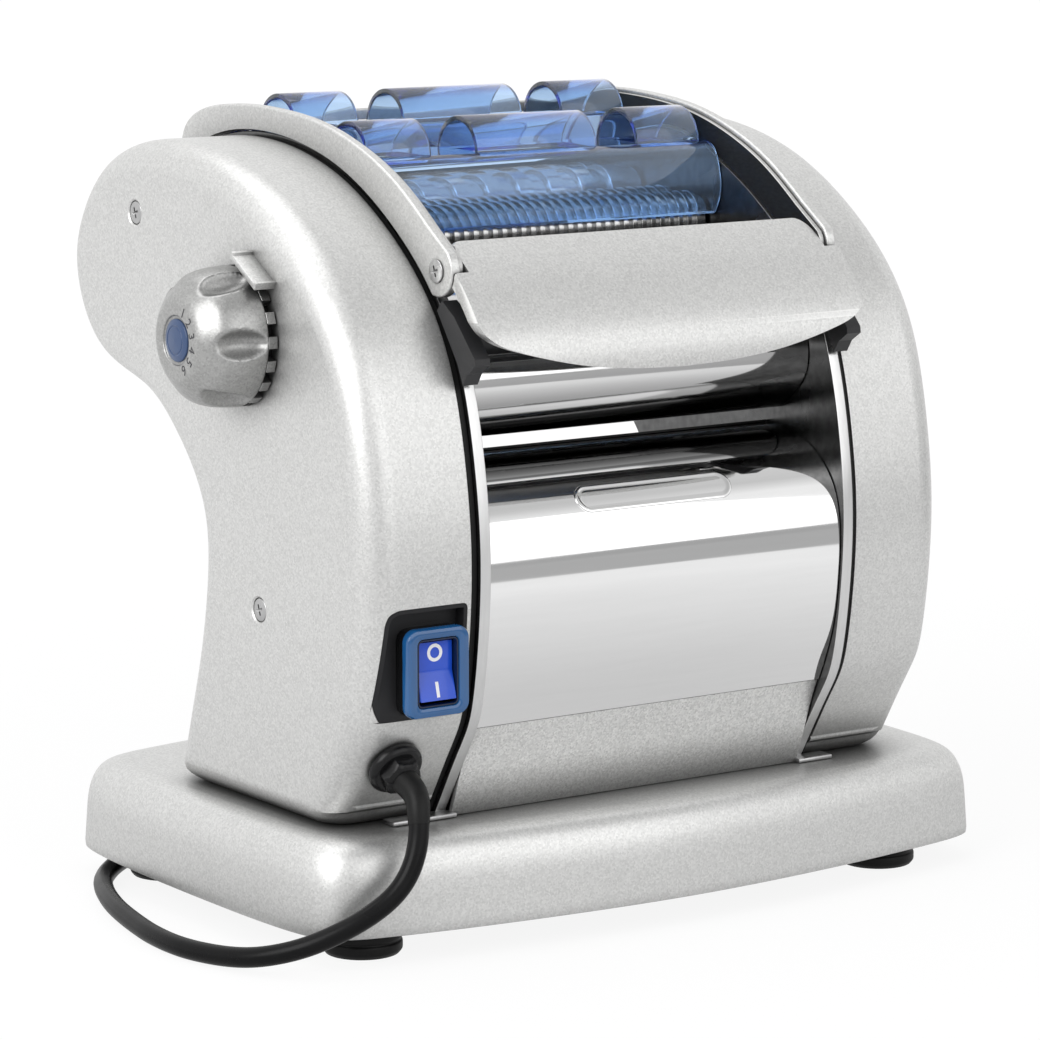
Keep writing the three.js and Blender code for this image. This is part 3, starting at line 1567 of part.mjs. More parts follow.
// The plug lies beside the coil: a flat-sided body with a ribbed neck and two pins.
const plugNeck = 12;
const plugNeckRadius = 6;
const plugNeckTipShare = 0.8;
const plugBody = 32;
const plugFlatness = 1.4; // its width as a share of its height
const plugShoulder = 3;
const pinRadius = 2.4;
const pinLength = 19;
const pinSpacing = 19;

function addPlug(cordEnd) {
  const height = cordEnd.z;
  const profile = [
    [gap, 0],
    [gap, plugNeckRadius * plugNeckTipShare],
    [plugNeck, plugNeckRadius],
    [plugNeck + plugShoulder, height],
    [plugNeck + plugBody - plugShoulder, height],
    [plugNeck + plugBody, height - plugShoulder],
    [plugNeck + plugBody, 0],
  ].map(([along, radius]) => new THREE.Vector2(radius, along));
  const geometry = new THREE.LatheGeometry(profile, shaftSegments);
  geometry.rotateZ(-Math.PI / 2);
  geometry.scale(1, plugFlatness, 1);
  geometry.translate(cordEnd.x, cordEnd.y, height);
  const front = cordEnd.x + plugNeck + plugBody;
  const pins = [-1, 1].map((side) => {
    const centre = new THREE.Vector2(cordEnd.y + (side * pinSpacing) / 2, height);
    return rodX(front - overrun, front + pinLength, pinRadius, centre, cordSides);
  });
  place("cord_plug", joined(solidFrom(geometry), ...pins), blackPlastic);
}

addBase();
addCheeks();
addCasings();
addGaskets();
addCovers();
addApron();
addHood();
addGuard();
addRolls();
addGearTrain();
addMotor();
addComb();
addAdjuster();
addSwitch();

// The origin is under the middle of the machine, its cord left out.
const bounds = new THREE.Box3().setFromObject(machine);
const middle = bounds.getCenter(new THREE.Vector3());
machine.position.set(-middle.x, -middle.y, -bounds.min.z);
addCord();

export default part;
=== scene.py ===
from bisect import bisect_left
from math import atan2, cos, pi, radians, sin

import bmesh
import bpy
from mathutils import Matrix, Quaternion, Vector


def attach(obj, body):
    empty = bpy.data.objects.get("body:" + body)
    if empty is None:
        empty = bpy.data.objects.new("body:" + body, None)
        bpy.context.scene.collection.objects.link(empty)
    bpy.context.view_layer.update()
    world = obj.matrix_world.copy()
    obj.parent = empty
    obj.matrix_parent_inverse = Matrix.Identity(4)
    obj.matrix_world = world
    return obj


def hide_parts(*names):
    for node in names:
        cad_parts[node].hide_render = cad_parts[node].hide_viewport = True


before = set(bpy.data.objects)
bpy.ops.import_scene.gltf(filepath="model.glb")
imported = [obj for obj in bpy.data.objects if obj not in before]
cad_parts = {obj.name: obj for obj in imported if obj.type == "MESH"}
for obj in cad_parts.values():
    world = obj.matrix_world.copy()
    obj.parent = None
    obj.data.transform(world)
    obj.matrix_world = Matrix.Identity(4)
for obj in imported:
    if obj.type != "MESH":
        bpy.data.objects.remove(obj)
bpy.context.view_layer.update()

# ------------------------------------------------------------------ camera, light and floor
# The machine is photographed from its front left corner and a little above, with a long lens,
# on a white ground under broad soft light. Distances in the sections below are in millimetres
# in the machine's own frame; at() carries them to the scene's metres.
scene = bpy.context.scene
scene.view_settings.view_transform = "Standard"

camera_data = bpy.data.cameras.new("studio_camera")
camera_data.lens = 152.2
camera_data.sensor_width = 36
camera_data.clip_end = 60
camera = bpy.data.objects.new("studio_camera", camera_data)
camera.location = (-0.916087, -1.340002, 0.403394)
camera.rotation_euler = Vector((0.557864, 0.813373, -0.164959)).to_track_quat("-Z", "Y").to_euler()
scene.collection.objects.link(camera)
scene.camera = camera

mm = 0.001
machine_shift = Vector((-2.2, -7.379, 0))


def at(point):
    return (Vector(point) + machine_shift) * mm


def softbox(name, place, aim, width, height, power):
    lamp = bpy.data.lights.new(name, "AREA")
    lamp.shape = "RECTANGLE"
    lamp.size, lamp.size_y = width, height
    lamp.energy = power
    stand = bpy.data.objects.new(name, lamp)
    stand.location = place
    stand.rotation_euler = (Vector(aim) - Vector(place)).to_track_quat("-Z", "Y").to_euler()
    scene.collection.objects.link(stand)


softbox("left_softbox", (-2.4, -0.6, 1.5), (0, 0, 0.15), 1.8, 1.8, 40)
softbox("top_softbox", (-0.4, 0.5, 2.4), (0, 0, 0.1), 2.0, 1.6, 14)
softbox("front_softbox", (0.7, -2.7, 1.2), (0, 0, 0.12), 2.8, 2.2, 16)


def node(tree, kind, values=None, **settings):
    """A shader node with its settings, and with its sockets set to numbers or linked."""
    made = tree.nodes.new("ShaderNode" + kind)
    for name, value in settings.items():
        setattr(made, name, value)
    for name, value in (values or {}).items():
        if isinstance(value, bpy.types.NodeSocket):
            tree.links.new(value, made.inputs[name])
        else:
            made.inputs[name].default_value = value
    return made


def blended(tree, factor, low, high):
    """A colour between two, by a factor."""
    mix = node(tree, "Mix", data_type="RGBA")
    for socket, value in ((mix.inputs[0], factor), (mix.inputs[6], low), (mix.inputs[7], high)):
        if isinstance(value, bpy.types.NodeSocket):
            tree.links.new(value, socket)
        else:
            socket.default_value = value
    return mix.outputs[2]


def ramp(tree, factor, stops):
    """A grey or a colour that follows a factor through its stops."""
    made = node(tree, "ValToRGB", {"Fac": factor})
    points = made.color_ramp.elements
    while len(points) < len(stops):
        points.new(0.5)
    for point, (place, colour) in zip(points, stops):
        point.position = place
        point.color = (colour, colour, colour, 1) if isinstance(colour, float) else colour
    return made.outputs["Color"]


def spread_over(tree, value, start, end, low=0.0, high=1.0):
    """A factor that runs from low to high while a value runs from start to end."""
    return node(tree, "MapRange", {0: value, 1: start, 2: end, 3: low, 4: high}).outputs[0]


def reckoned(tree, operation, first, second=0.0):
    """A sum, a product or the like of two factors, kept between 0 and 1."""
    return node(tree, "Math", {0: first, 1: second}, operation=operation, use_clamp=True).outputs[0]


def seen_white(tree):
    """The kinds of ray, and a factor for what the camera sees, straight or through the guard."""
    rays = node(tree, "LightPath").outputs
    return rays, reckoned(tree, "ADD", rays["Is Camera Ray"], rays["Is Transmission Ray"])


white = (1, 1, 1, 1)
studio = bpy.data.worlds.new("studio")
studio.use_nodes = True
scene.world = studio
sky = studio.node_tree
sky.nodes.clear()
sky_way = node(sky, "SeparateXYZ", {"Vector": node(sky, "TexCoord").outputs["Generated"]})
front_wall = ramp(sky, sky_way.outputs["Z"], [
    (0.0, 0.46), (0.04, 0.66), (0.1, 0.88), (0.2, 1.0), (0.6, 1.0), (0.72, 0.66), (0.85, 0.52), (1.0, 0.62),
])
mirrored_room = blended(sky, spread_over(sky, sky_way.outputs["Y"], 0.35, -0.35), white, front_wall)
sky_rays, sky_seen = seen_white(sky)
backdrop = blended(sky, sky_seen, mirrored_room, white)
ambient = blended(sky, sky_rays["Is Diffuse Ray"], backdrop, (0.52, 0.52, 0.53, 1))
shine = node(sky, "Background", {"Color": ambient, "Strength": 1.0})
node(sky, "OutputWorld", {"Surface": shine.outputs[0]})

# The camera sees the paper melt into white away from the machine and keep its shadow near it. Polished
# steel sees a greyer paper that ends in front of the machine, and the dimmer room past its edge.
floor_reach = 20
floor_mesh = bpy.data.meshes.new("floor")
floor_corners = [(-1, -1), (1, -1), (1, 1), (-1, 1)]
floor_mesh.from_pydata([(x * floor_reach, y * floor_reach, 0) for x, y in floor_corners], [], [(0, 1, 2, 3)])
floor = bpy.data.objects.new("floor", floor_mesh)
scene.collection.objects.link(floor)
floor_paper = bpy.data.materials.new("floor_paper")
floor_paper.use_nodes = True
paper = floor_paper.node_tree
paper.nodes.clear()
paper_place = node(paper, "TexCoord").outputs["Object"]
paper_far = node(paper, "VectorMath", {0: paper_place}, operation="LENGTH").outputs["Value"]
paper_grain = node(paper, "TexNoise", {"Scale": 40, "Detail": 3})
paper_colour = ramp(paper, paper_grain.outputs[0], [(0.3, 0.87), (0.7, 0.9)])
paper_matt = node(paper, "BsdfDiffuse", {"Color": paper_colour})
paper_glow = node(paper, "Emission", {"Color": white, "Strength": 1.02})
paper_rays, paper_seen = seen_white(paper)
paper_lift = reckoned(paper, "MULTIPLY", paper_seen, spread_over(paper, paper_far, 0.3, 1.1, 0.88))
paper_lit = node(paper, "MixShader", {0: paper_lift, 1: paper_matt.outputs[0], 2: paper_glow.outputs[0]})
paper_front = node(paper, "SeparateXYZ", {"Vector": paper_place}).outputs["Y"]
past_front = reckoned(
    paper, "MULTIPLY", spread_over(paper, paper_far, 0.84, 0.88), spread_over(paper, paper_front, 0.3, -0.3),
)
near_grey = spread_over(paper, paper_far, 0.15, 0.6, 0.66)
mirrored_grey = blended(paper, past_front, near_grey, (0.42, 0.42, 0.42, 1))
paper_mirrored = node(paper, "Emission", {"Color": mirrored_grey, "Strength": 1.0})
paper_shiny = reckoned(paper, "MULTIPLY", paper_rays["Is Glossy Ray"], 0.85)
paper_whole = node(paper, "MixShader", {
    0: paper_shiny, 1: paper_lit.outputs[0], 2: paper_mirrored.outputs[0],
})
node(paper, "OutputMaterial", {"Surface": paper_whole.outputs[0]})
floor_mesh.materials.append(floor_paper)

# ------------------------------------------------------------------ mains cord
# A round black PVC mains lead of 7.2 mm. It leaves its gland, falls past the base, sweeps round
# the front left corner and goes behind the machine, where the rest is coiled under a rubber tie
# and ends in a moulded two-pin plug.
cord_radius = 3.6
cord_route = [
    (-108, -87.9, 63.7), (-108, -94.2, 60.2), (-109.2, -97.8, 54.6), (-110.2, -99.4, 48),
    (-112.2, -100.4, 41), (-115.6, -100.6, 34), (-121, -99.9, 27.6), (-128.5, -98, 22),
    (-137.5, -94.5, 16.8), (-147.2, -88.2, 11.6), (-156, -79, 7.6), (-163, -66.5, 5),
    (-168, -50, 3.9), (-170.2, -35, 3.7), (-169.8, -20, 3.7), (-167.6, -5, 3.7),
    (-161.5, 22, 3.7), (-152, 48, 3.7), (-143.5, 63, 3.7), (-134.5, 73.8, 3.7),
    (-126.3, 81.6, 3.7), (-117, 88.3, 3.7), (-104, 95, 3.7), (-88, 101.5, 3.7),
    (-68, 108.6, 3.7), (-46, 115.8, 3.7), (-26, 121.3, 3.8), (-8, 124.5, 4.2),
    (6, 125.5, 4.7), (14, 125.65, 4.7), (22.5, 125.65, 4.7),
]
coil_middle = (30, 177.88)
coil_turns_each_way = 2.5
coil_pitch = 2 * cord_radius + 0.6
coil_radius = 11.8 * cord_radius
tie_slack, tie_thick = 0.3, 0.8
coil_lift = tie_thick + tie_slack + cord_radius
coil_tail = 30


def smooth_line(points, steps):
    """A line through points whose bend also runs on smoothly, for faces that mirror the light."""
    points = [Vector(p) for p in points]
    last = len(points) - 1
    share, bend = [0.0], [points[0] * 0]
    for a, b, c in zip(points, points[1:], points[2:]):
        share.append(1 / (4 - share[-1]))
        bend.append((6 * (a - 2 * b + c) - bend[-1]) * share[-1])
    bend.append(points[0] * 0)
    for i in range(last - 1, 0, -1):
        bend[i] = bend[i] - bend[i + 1] * share[i]
    line = []
    for step in range(steps + 1):
        place = step / steps * last
        i = min(int(place), last - 1)
        t = place - i
        u = 1 - t
        line.append(
            points[i] * u + points[i + 1] * t + (bend[i] * (u**3 - u) + bend[i + 1] * (t**3 - t)) / 6
        )
    return line


def coil_line(steps):
    inner = coil_radius - coil_pitch * coil_turns_each_way / 2
    line = []
    for i in range(int(2 * coil_turns_each_way * steps) + 1):
        turn = i / steps - coil_turns_each_way
        angle = (i / steps - 0.25) * 2 * pi
        radius = inner + coil_pitch * abs(turn)
        climb = min(max(2 * turn + 0.5, 0), 1)
        climb = climb * climb * (3 - 2 * climb)
        line.append(Vector((
            coil_middle[0] + radius * cos(angle),
            coil_middle[1] + radius * sin(angle),
            coil_lift + climb * coil_pitch,
        )))
    return line


def piece(name, points, faces, material=None, crisp=40):
    """A smooth-shaded piece from millimetre points, with edges over the crisp angle kept sharp."""
    mesh = bpy.data.meshes.new(name)
    mesh.from_pydata([at(p) for p in points], [], faces)
    mesh.update()
    made = bpy.data.objects.new(name, mesh)
    scene.collection.objects.link(made)
    face_outwards(made)
    shade(made, crisp)
    if material:
        mesh.materials.append(material)
    return made


def face_outwards(made):
    work = bmesh.new()
    work.from_mesh(made.data)
    bmesh.ops.recalc_face_normals(work, faces=work.faces)
    work.to_mesh(made.data)
    work.free()


def shade(made, crisp=40):
    for face in made.data.polygons:
        face.use_smooth = True
    made.data.set_sharp_from_angle(angle=radians(crisp))


def bridged(loops, closed_ends=True):
    """Faces between loops of equal count that follow each other, with a face over each end."""
    count = len(loops[0])
    points = [p for loop in loops for p in loop]
    faces = []
    for first in range(0, (len(loops) - 1) * count, count):
        for i in range(count):
            a, b = first + i, first + (i + 1) % count
            faces.append((a, b, b + count, a + count))
    if closed_ends:
        faces.append(tuple(range(count))[::-1])
        faces.append(tuple(range(len(points) - count, len(points))))
    return points, faces


def looped(loops):
    """Faces between loops of which the last meets the first again, as round a ring."""
    points, faces = bridged([*loops, loops[0]], False)
    count = len(loops) * len(loops[0])
    return points[:count], [tuple(i % count for i in face) for face in faces]


def swept_loops(line, radii, sides):
    """Rings square to a line, each of its own radius."""
    loops = []
    up = Vector((0, 0, 1))
    for i, point in enumerate(line):
        along = (line[min(i + 1, len(line) - 1)] - line[max(i - 1, 0)]).normalized()
        side = along.cross(up).normalized()
        over = side.cross(along)
        radius = radii[i] if isinstance(radii, list) else radii
        loops.append([
            point + side * radius * cos(2 * pi * k / sides) + over * radius * sin(2 * pi * k / sides)
            for k in range(sides)
        ])
    return loops


def fit(made, body, finish_slot, *solids):
    """The piece moves with its body and stands for its plain solids; finish_slot is not used."""
    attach(made, body)
    if solids:
        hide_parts(*solids)
    return made


def effect(name, inputs, outputs):
    """A shader node group: the group, the place on the piece, its inputs and its outputs."""
    group = bpy.data.node_groups.new(name, "ShaderNodeTree")
    for label, kind, default in inputs:
        socket = group.interface.new_socket(name=label, in_out="INPUT", socket_type="NodeSocket" + kind)
        socket.default_value = default
    for label in outputs:
        group.interface.new_socket(name=label, in_out="OUTPUT", socket_type="NodeSocketFloat")
    place = node(group, "TexCoord").outputs["Object"]
    start, end = group.nodes.new("NodeGroupInput"), group.nodes.new("NodeGroupOutput")
    return group, place, start.outputs, end.inputs


def deliver(group, ends, *results):
    """Joins a group's results to its outputs, in their order."""
    for result, end in zip(results, ends):
        group.links.new(result, end)


def placed(tree, group, **values):
    made = tree.nodes.new("ShaderNodeGroup")
    made.node_tree = group
    for name, value in values.items():
        made.inputs[name.replace("_", " ")].default_value = value
    return made.outputs


def blank_material(name):
    """A new material, its node tree and its shader."""
    material = bpy.data.materials.new(name)
    material.use_nodes = True
    return material, material.node_tree, material.node_tree.nodes["Principled BSDF"]


def surface(tree, shader, colour, sheen, roughness, spread, relief, bump, depth):
    """Joins a colour, an uneven roughness and a fine relief to a shader."""
    rough = spread_over(tree, sheen, 0.3, 0.7, roughness * (1 - spread), roughness * (1 + spread))
    dent = node(tree, "Bump", {"Strength": bump, "Distance": depth, "Height": relief})
    for result, socket in ((colour, "Base Color"), (rough, "Roughness"), (dent.outputs[0], "Normal")):
        tree.links.new(result, shader.inputs[socket])


# Moulded plastic and rubber: a fine sparked grain in the tool, and a faint uneven sheen.
moulded_grain, grain_place, grain_in, grain_out = effect(
    "moulded_grain", [("Scale", "Float", 1800.0), ("Unevenness", "Float", 60.0)], ["Grain", "Sheen"],
)
fine = node(moulded_grain, "TexNoise", {
    "Vector": grain_place, "Scale": grain_in["Scale"], "Detail": 2.0, "Roughness": 0.6,
})
broad = node(moulded_grain, "TexNoise", {"Vector": grain_place, "Scale": grain_in["Unevenness"], "Detail": 2.0})
deliver(moulded_grain, grain_out, fine.outputs[0], broad.outputs[0])


def moulded(name, dark, light, roughness, scale=1800.0, bump=0.15, coat=0.0, gloss=0.5):
    """A moulded plastic or rubber: two near colours, an uneven sheen and a fine bump."""
    material, tree, shader = blank_material(name)
    grain = placed(tree, moulded_grain, Scale=scale)
    colour = blended(tree, grain["Sheen"], (*dark, 1), (*light, 1))
    surface(tree, shader, colour, grain["Sheen"], roughness, 0.15, grain["Grain"], bump, 0.0001)
    shader.inputs["Coat Weight"].default_value = coat
    shader.inputs["Specular IOR Level"].default_value = gloss
    return material


cord_black = moulded("cord_black", (0.003, 0.003, 0.0033), (0.007, 0.007, 0.0075), 0.3, 900.0, gloss=0.14)
black_plastic = moulded("black_plastic", (0.004, 0.004, 0.0045), (0.009, 0.009, 0.0095), 0.25, gloss=0.25)
black_rubber = moulded(
    "black_rubber", (0.004, 0.004, 0.004), (0.010, 0.010, 0.010), 0.45, 1200.0, 0.3, gloss=0.2,
)

coil_points = coil_line(48)
cord_line = smooth_line(cord_route, 240)[:-1]
cord_line.append(coil_points[0] + Vector((-2 * cord_radius, 0, 0)))
cord_line += coil_points
cord_line.append(coil_points[-1] + Vector((coil_tail, 0, 0)))
cord_points, cord_faces = bridged(swept_loops(cord_line, cord_radius, 20))
mains_cord = piece("mains_cord", cord_points, cord_faces, cord_black, 60)
fit(mains_cord, "machine", "cord_black", "cord", "cord_coil")


def turned(profile, origin, axis, sides, material=None, name="tool", crisp=35):
    """A piece turned about an axis: the profile lists (along the axis, radius)."""
    lean = Vector((0, 0, 1)).rotation_difference(Vector(axis).normalized())
    round_steps = [2 * pi * k / sides for k in range(sides)]
    loops = [[
        Vector(origin) + lean @ Vector((radius * cos(a), radius * sin(a), along)) for a in round_steps
    ] for along, radius in profile]
    whole = looped(loops[:-1]) if profile[0] == profile[-1] else bridged(loops)
    return piece(name, *whole, material, crisp)


def rounded_corner(before, corner, after, radius, steps):
    """A curve that cuts a corner, never more than nearly halfway to the next."""
    back, on = before - corner, after - corner
    reach = min(radius, back.length * 0.45, on.length * 0.45)
    start, end = corner + back.normalized() * reach, corner + on.normalized() * reach
    shares = [i / steps for i in range(steps + 1)]
    return [start * (1 - t) ** 2 + corner * 2 * t * (1 - t) + end * t**2 for t in shares]


def rounded_profile(corners, radius, steps=4):
    """A profile with every inner corner rounded, for turned pieces."""
    corners = [Vector(c) for c in corners]
    line = [corners[0]]
    for trio in zip(corners, corners[1:], corners[2:]):
        line += rounded_corner(*trio, radius, steps)
    return [tuple(p) for p in [*line, corners[-1]]]


def settle(made):
    """Applies the piece's modifiers to its mesh."""
    view = bpy.context.evaluated_depsgraph_get()
    mesh = bpy.data.meshes.new_from_object(made.evaluated_get(view))
    made.modifiers.clear()
    made.data = mesh
    return made


def carve(made, operation, *tools):
    """Cuts tools from the piece, joins them to it, or keeps what lies in them."""
    for tool in tools:
        step = made.modifiers.new("carve", "BOOLEAN")
        step.operation = operation
        step.solver = "MANIFOLD"
        step.object = tool
    settle(made)
    for tool in tools:
        bpy.data.objects.remove(tool)
    return made


def even_light(made):
    """Keeps the large flat faces flat in the shading."""
    made.modifiers.new("even_light", "WEIGHTED_NORMAL").keep_sharp = True
    return made


# The plug lies beside the coil: a moulded body with a ribbed neck and two plated pins.
plug_start = cord_line[-1]
plug_widening = 1.35
plug_profile = rounded_profile(
    [(0.3, 0), (0.3, 4.6), (3, 4.9), (3.6, 4.3), (5.2, 4.4), (5.8, 5.3), (7.4, 5.4), (8, 4.8),
     (9.6, 4.9), (10.2, 5.8), (12, 6), (15.2, 10.8), (22, 12.2), (41, 12.3), (44, 11), (44, 0)],
    0.8,
)
plug = turned(plug_profile, plug_start, (1, 0, 0), 40, black_plastic, "plug_body", 50)
for vertex in plug.data.vertices:
    vertex.co.y = at(plug_start).y + (vertex.co.y - at(plug_start).y) * plug_widening
fit(plug, "machine", "black_plastic", "cord_plug")

plated_pin, pin_tree, pin_shader = blank_material("plated_pin")
pin_shader.inputs["Metallic"].default_value = 1
pin_marks = node(pin_tree, "TexNoise", {"Scale": 900, "Detail": 2}).outputs[0]
pin_tree.links.new(ramp(pin_tree, pin_marks, [(0.3, 0.55), (0.7, 0.66)]), pin_shader.inputs["Base Color"])
pin_tree.links.new(spread_over(pin_tree, pin_marks, 0, 1, 0.18, 0.34), pin_shader.inputs["Roughness"])
pin_profile = rounded_profile([(0, 0), (0, 2.4), (18.6, 2.4), (20, 1.3), (20, 0)], 0.9)
pins = []
for side, name in ((-1, "left"), (1, "right")):
    root = plug_start + Vector((43, side * 9.5, 0))
    pins.append(turned(pin_profile, root, (1, 0, 0), 24, plated_pin, f"plug_pin_{name}"))
    fit(pins[-1], "machine", "gear_steel")

# The tie is a flat rubber band round all the turns, at the back of the coil.
tie_reach = coil_radius + coil_pitch * coil_turns_each_way / 2
tie_room = tie_slack + cord_radius
tie_near = coil_middle[1] + 2 * coil_radius - tie_reach - tie_room - tie_slack
tie_far = coil_middle[1] + tie_reach + tie_room
tie_low = coil_lift - tie_room
tie_high = coil_lift + coil_pitch + tie_room
tie_half, tie_round = 4, 3


def rounded_rectangle(corners, radius, steps=5):
    """Points of a rectangle given by its low and high corners, with round corners."""
    (u0, v0), (u1, v1) = corners
    line = []
    for turn, (u, v) in enumerate(((u1, v1), (u0, v1), (u0, v0), (u1, v0))):
        cu = u - radius if u == u1 else u + radius
        cv = v - radius if v == v1 else v + radius
        for i in range(steps + 1):
            angle = (turn + i / steps) * pi / 2
            line.append(Vector((cu + radius * cos(angle), cv + radius * sin(angle))))
    return line


def tie_loop(x, thick):
    corners = (tie_near - thick, tie_low - thick), (tie_far + thick, tie_high + thick)
    return [Vector((coil_middle[0] + x, p.x, p.y)) for p in rounded_rectangle(corners, tie_round + thick)]


tie_edges = ((-tie_half, 0), (-tie_half, tie_thick), (tie_half, tie_thick), (tie_half, 0))
coil_tie = piece("coil_tie", *looped([tie_loop(x, thick) for x, thick in tie_edges]), black_rubber)
fit(coil_tie, "machine", "black_rubber", "cord_tie")

# ------------------------------------------------------------------ base and feet
# A deep steel tray with bowed sides and a big rounded edge, painted silver, closed from below by a
# black moulded plate that holds four rubber feet.
base_half_width, base_half_depth, base_middle = 151, 108, Vector((7.5, 5))
base_bottom, base_top = 10, 43.8
plan_shares = [
    (1, 0), (0.996, 0.4), (0.977, 0.7), (0.92, 0.837), (0.8, 0.888), (0.65, 0.924), (0.42, 0.965), (0, 1),
]


def plan(edge_inset, height):
    """The base's outline at a height: a smooth line through a quarter's points and their mirrors."""
    half_width, half_depth = base_half_width - edge_inset, base_half_depth - edge_inset
    quarter = [Vector((u * half_width, v * half_depth)) for u, v in plan_shares]
    before = [Vector((p.x, -p.y)) for p in quarter[3:0:-1]]
    after = [Vector((-p.x, p.y)) for p in quarter[-2:-5:-1]]
    fine = smooth_line(before + quarter + after, 13 * 8)[24:-24]
    right = fine[:-1] + [Vector((-p.x, p.y)) for p in fine[:0:-1]]
    whole = right + [-p for p in right]
    return [Vector((p.x + base_middle.x, p.y + base_middle.y, height)) for p in whole]


# Silver metallic paint: flecks, a faint cloud, rubbed edges a little brighter, and painted shade that darkens
# its nooks.
paint_fleck, fleck_place, fleck_in, fleck_out = effect(
    "paint_fleck", [("Fleck Scale", "Float", 1500.0), ("Cloud Scale", "Float", 12.0)],
    ["Fleck", "Cloud", "Edge"],
)
fleck = node(paint_fleck, "TexVoronoi", {"Vector": fleck_place, "Scale": fleck_in["Fleck Scale"]}, feature="F1")
fleck_grey = node(paint_fleck, "RGBToBW", {0: fleck.outputs["Color"]})
cloud = node(paint_fleck, "TexNoise", {"Vector": fleck_place, "Scale": fleck_in["Cloud Scale"], "Detail": 3.0})
worn = spread_over(paint_fleck, node(paint_fleck, "NewGeometry").outputs["Pointiness"], 0.66, 0.8)
deliver(paint_fleck, fleck_out, fleck_grey.outputs[0], cloud.outputs[0], worn)


def painted(name, low, high, roughness, metallic, bump=0.1, depth=0.00004):
    """Metallic paint between two greys."""
    material, tree, shader = blank_material(name)
    flecks = placed(tree, paint_fleck)
    base = blended(tree, flecks["Fleck"], (low, low, low * 0.985, 1), (high, high, high * 0.985, 1))
    rubbed = blended(tree, flecks["Edge"], base, (0.86, 0.86, 0.85, 1))
    # Painted shade: the colour goes towards black where ambient occlusion finds a nook.
    nook = node(tree, "AmbientOcclusion", {"Distance": 0.022}, samples=8).outputs["AO"]
    nook_shaded = blended(tree, spread_over(tree, nook, 0.25, 0.85, 0.75, 0.0), rubbed, (0.03, 0.03, 0.03, 1))
    surface(tree, shader, nook_shaded, flecks["Cloud"], roughness, 0.08, flecks["Fleck"], bump, depth)
    shader.inputs["Metallic"].default_value = metallic
    return material


silver_paint = painted("silver_paint", 0.56, 0.74, 0.4, 0.75)

tray_profile = smooth_line([(0.0, 0.0), (0.7, 0.35), (1.6, 0.64), (4, 0.85), (8, 0.963), (14, 1.0)], 30)
tray_rise = base_top - base_bottom
tray_wall, tray_opening = 2.6, 40
outer = [plan(p.x, base_bottom + p.y * tray_rise) for p in tray_profile]
outer.append(plan(tray_opening, base_top + 0.15))
lip = [plan(0.9, base_bottom + 0.05), plan(0.25, base_bottom + 0.35)]
inner = [plan(p.x + tray_wall, base_bottom + p.y * tray_rise - tray_wall) for p in tray_profile[::4]]
inner[0] = plan(tray_wall, base_bottom)
tray_loops = [plan(tray_opening, base_top - tray_wall)] + inner[::-1] + lip + outer[1:]
base_tray = piece("base_tray_shell", *bridged(tray_loops), silver_paint, 50)
even_light(base_tray)
fit(base_tray, "machine", "silver_paint", "base_tray")


def dress(material, *solids):
    """Gives carried-over solids their finish."""
    for solid in solids:
        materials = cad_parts[solid].data.materials
        materials.clear()
        materials.append(material)


dress(black_plastic, "base_plate")
foot_profile = rounded_profile([
    (0.0, 0.0), (0.0, 9.5), (0.8, 9.8), (0.8, 12.6), (0.0, 12.9), (1.6, 14.2), (4.4, 14.2), (5.2, 13.5),
    (6, 14.2), (9.2, 14.1), (10.5, 13.6), (10.5, 5), (12.5, 5), (12.5, 0),
], 0.5, 3)
for depth_name, y in (("front", -68), ("rear", 68)):
    for side_name, x in (("left", -113.5), ("right", 117.5)):
        name = f"{depth_name}_{side_name}"
        foot = turned(foot_profile, (x, y, 0), (0, 0, 1), 64, black_rubber, f"rubber_foot_{name}")
        fit(foot, "machine", "black_rubber", f"foot_{name}")

# ------------------------------------------------------------------ side plates and tie rods
# Two blanked steel plates stand on the base and carry every roll. Their polished edges show as a thin
# bright line at the front; the faces towards the bay are darkened to a matt grey. Two rods tie them.
side_depth, side_rise = 210, 233
outline_shares = [
    (-0.238, -0.103), (-0.374, 0.103), (-0.426, 0.197), (-0.449, 0.369), (-0.436, 0.532), (-0.39, 0.691),
    (-0.305, 0.807), (-0.19, 0.891), (-0.048, 0.957), (0.119, 0.994), (0.286, 0.998), (0.429, 0.964),
    (0.519, 0.888), (0.554, 0.798), (0.524, 0.704), (0.438, 0.635), (0.305, 0.599), (0.2, 0.536),
    (0.124, 0.453), (0.105, 0.356), (0.129, 0.227), (0.171, 0.103), (0.238, -0.103),
]


def side_point(share):
    return Vector((share[0] * side_depth, base_top + share[1] * side_rise))


def side_curve(shares, steps):
    return smooth_line([side_point(s) for s in shares], steps)


side_outline = side_curve(outline_shares, 220)


def inset(outline, distance):
    """The points of a closed outline moved inwards, square to it."""
    count = len(outline)
    area = sum(a.x * b.y - b.x * a.y for a, b in zip(outline, outline[1:] + outline[:1]))
    turn = 1 if area > 0 else -1
    moved = []
    for i, point in enumerate(outline):
        back = (point - outline[i - 1]).normalized()
        on = (outline[(i + 1) % count] - point).normalized()
        along = (back + on).normalized()
        step = distance * turn / max(along.dot(on), 0.5)
        moved.append(Vector((point.x - along.y * step, point.y + along.x * step)))
    return moved


def side_loop(outline, x):
    return [Vector((x, p.x, p.y)) for p in outline]


def front_loop(outline, y):
    return [Vector((p.x, y, p.y)) for p in outline]


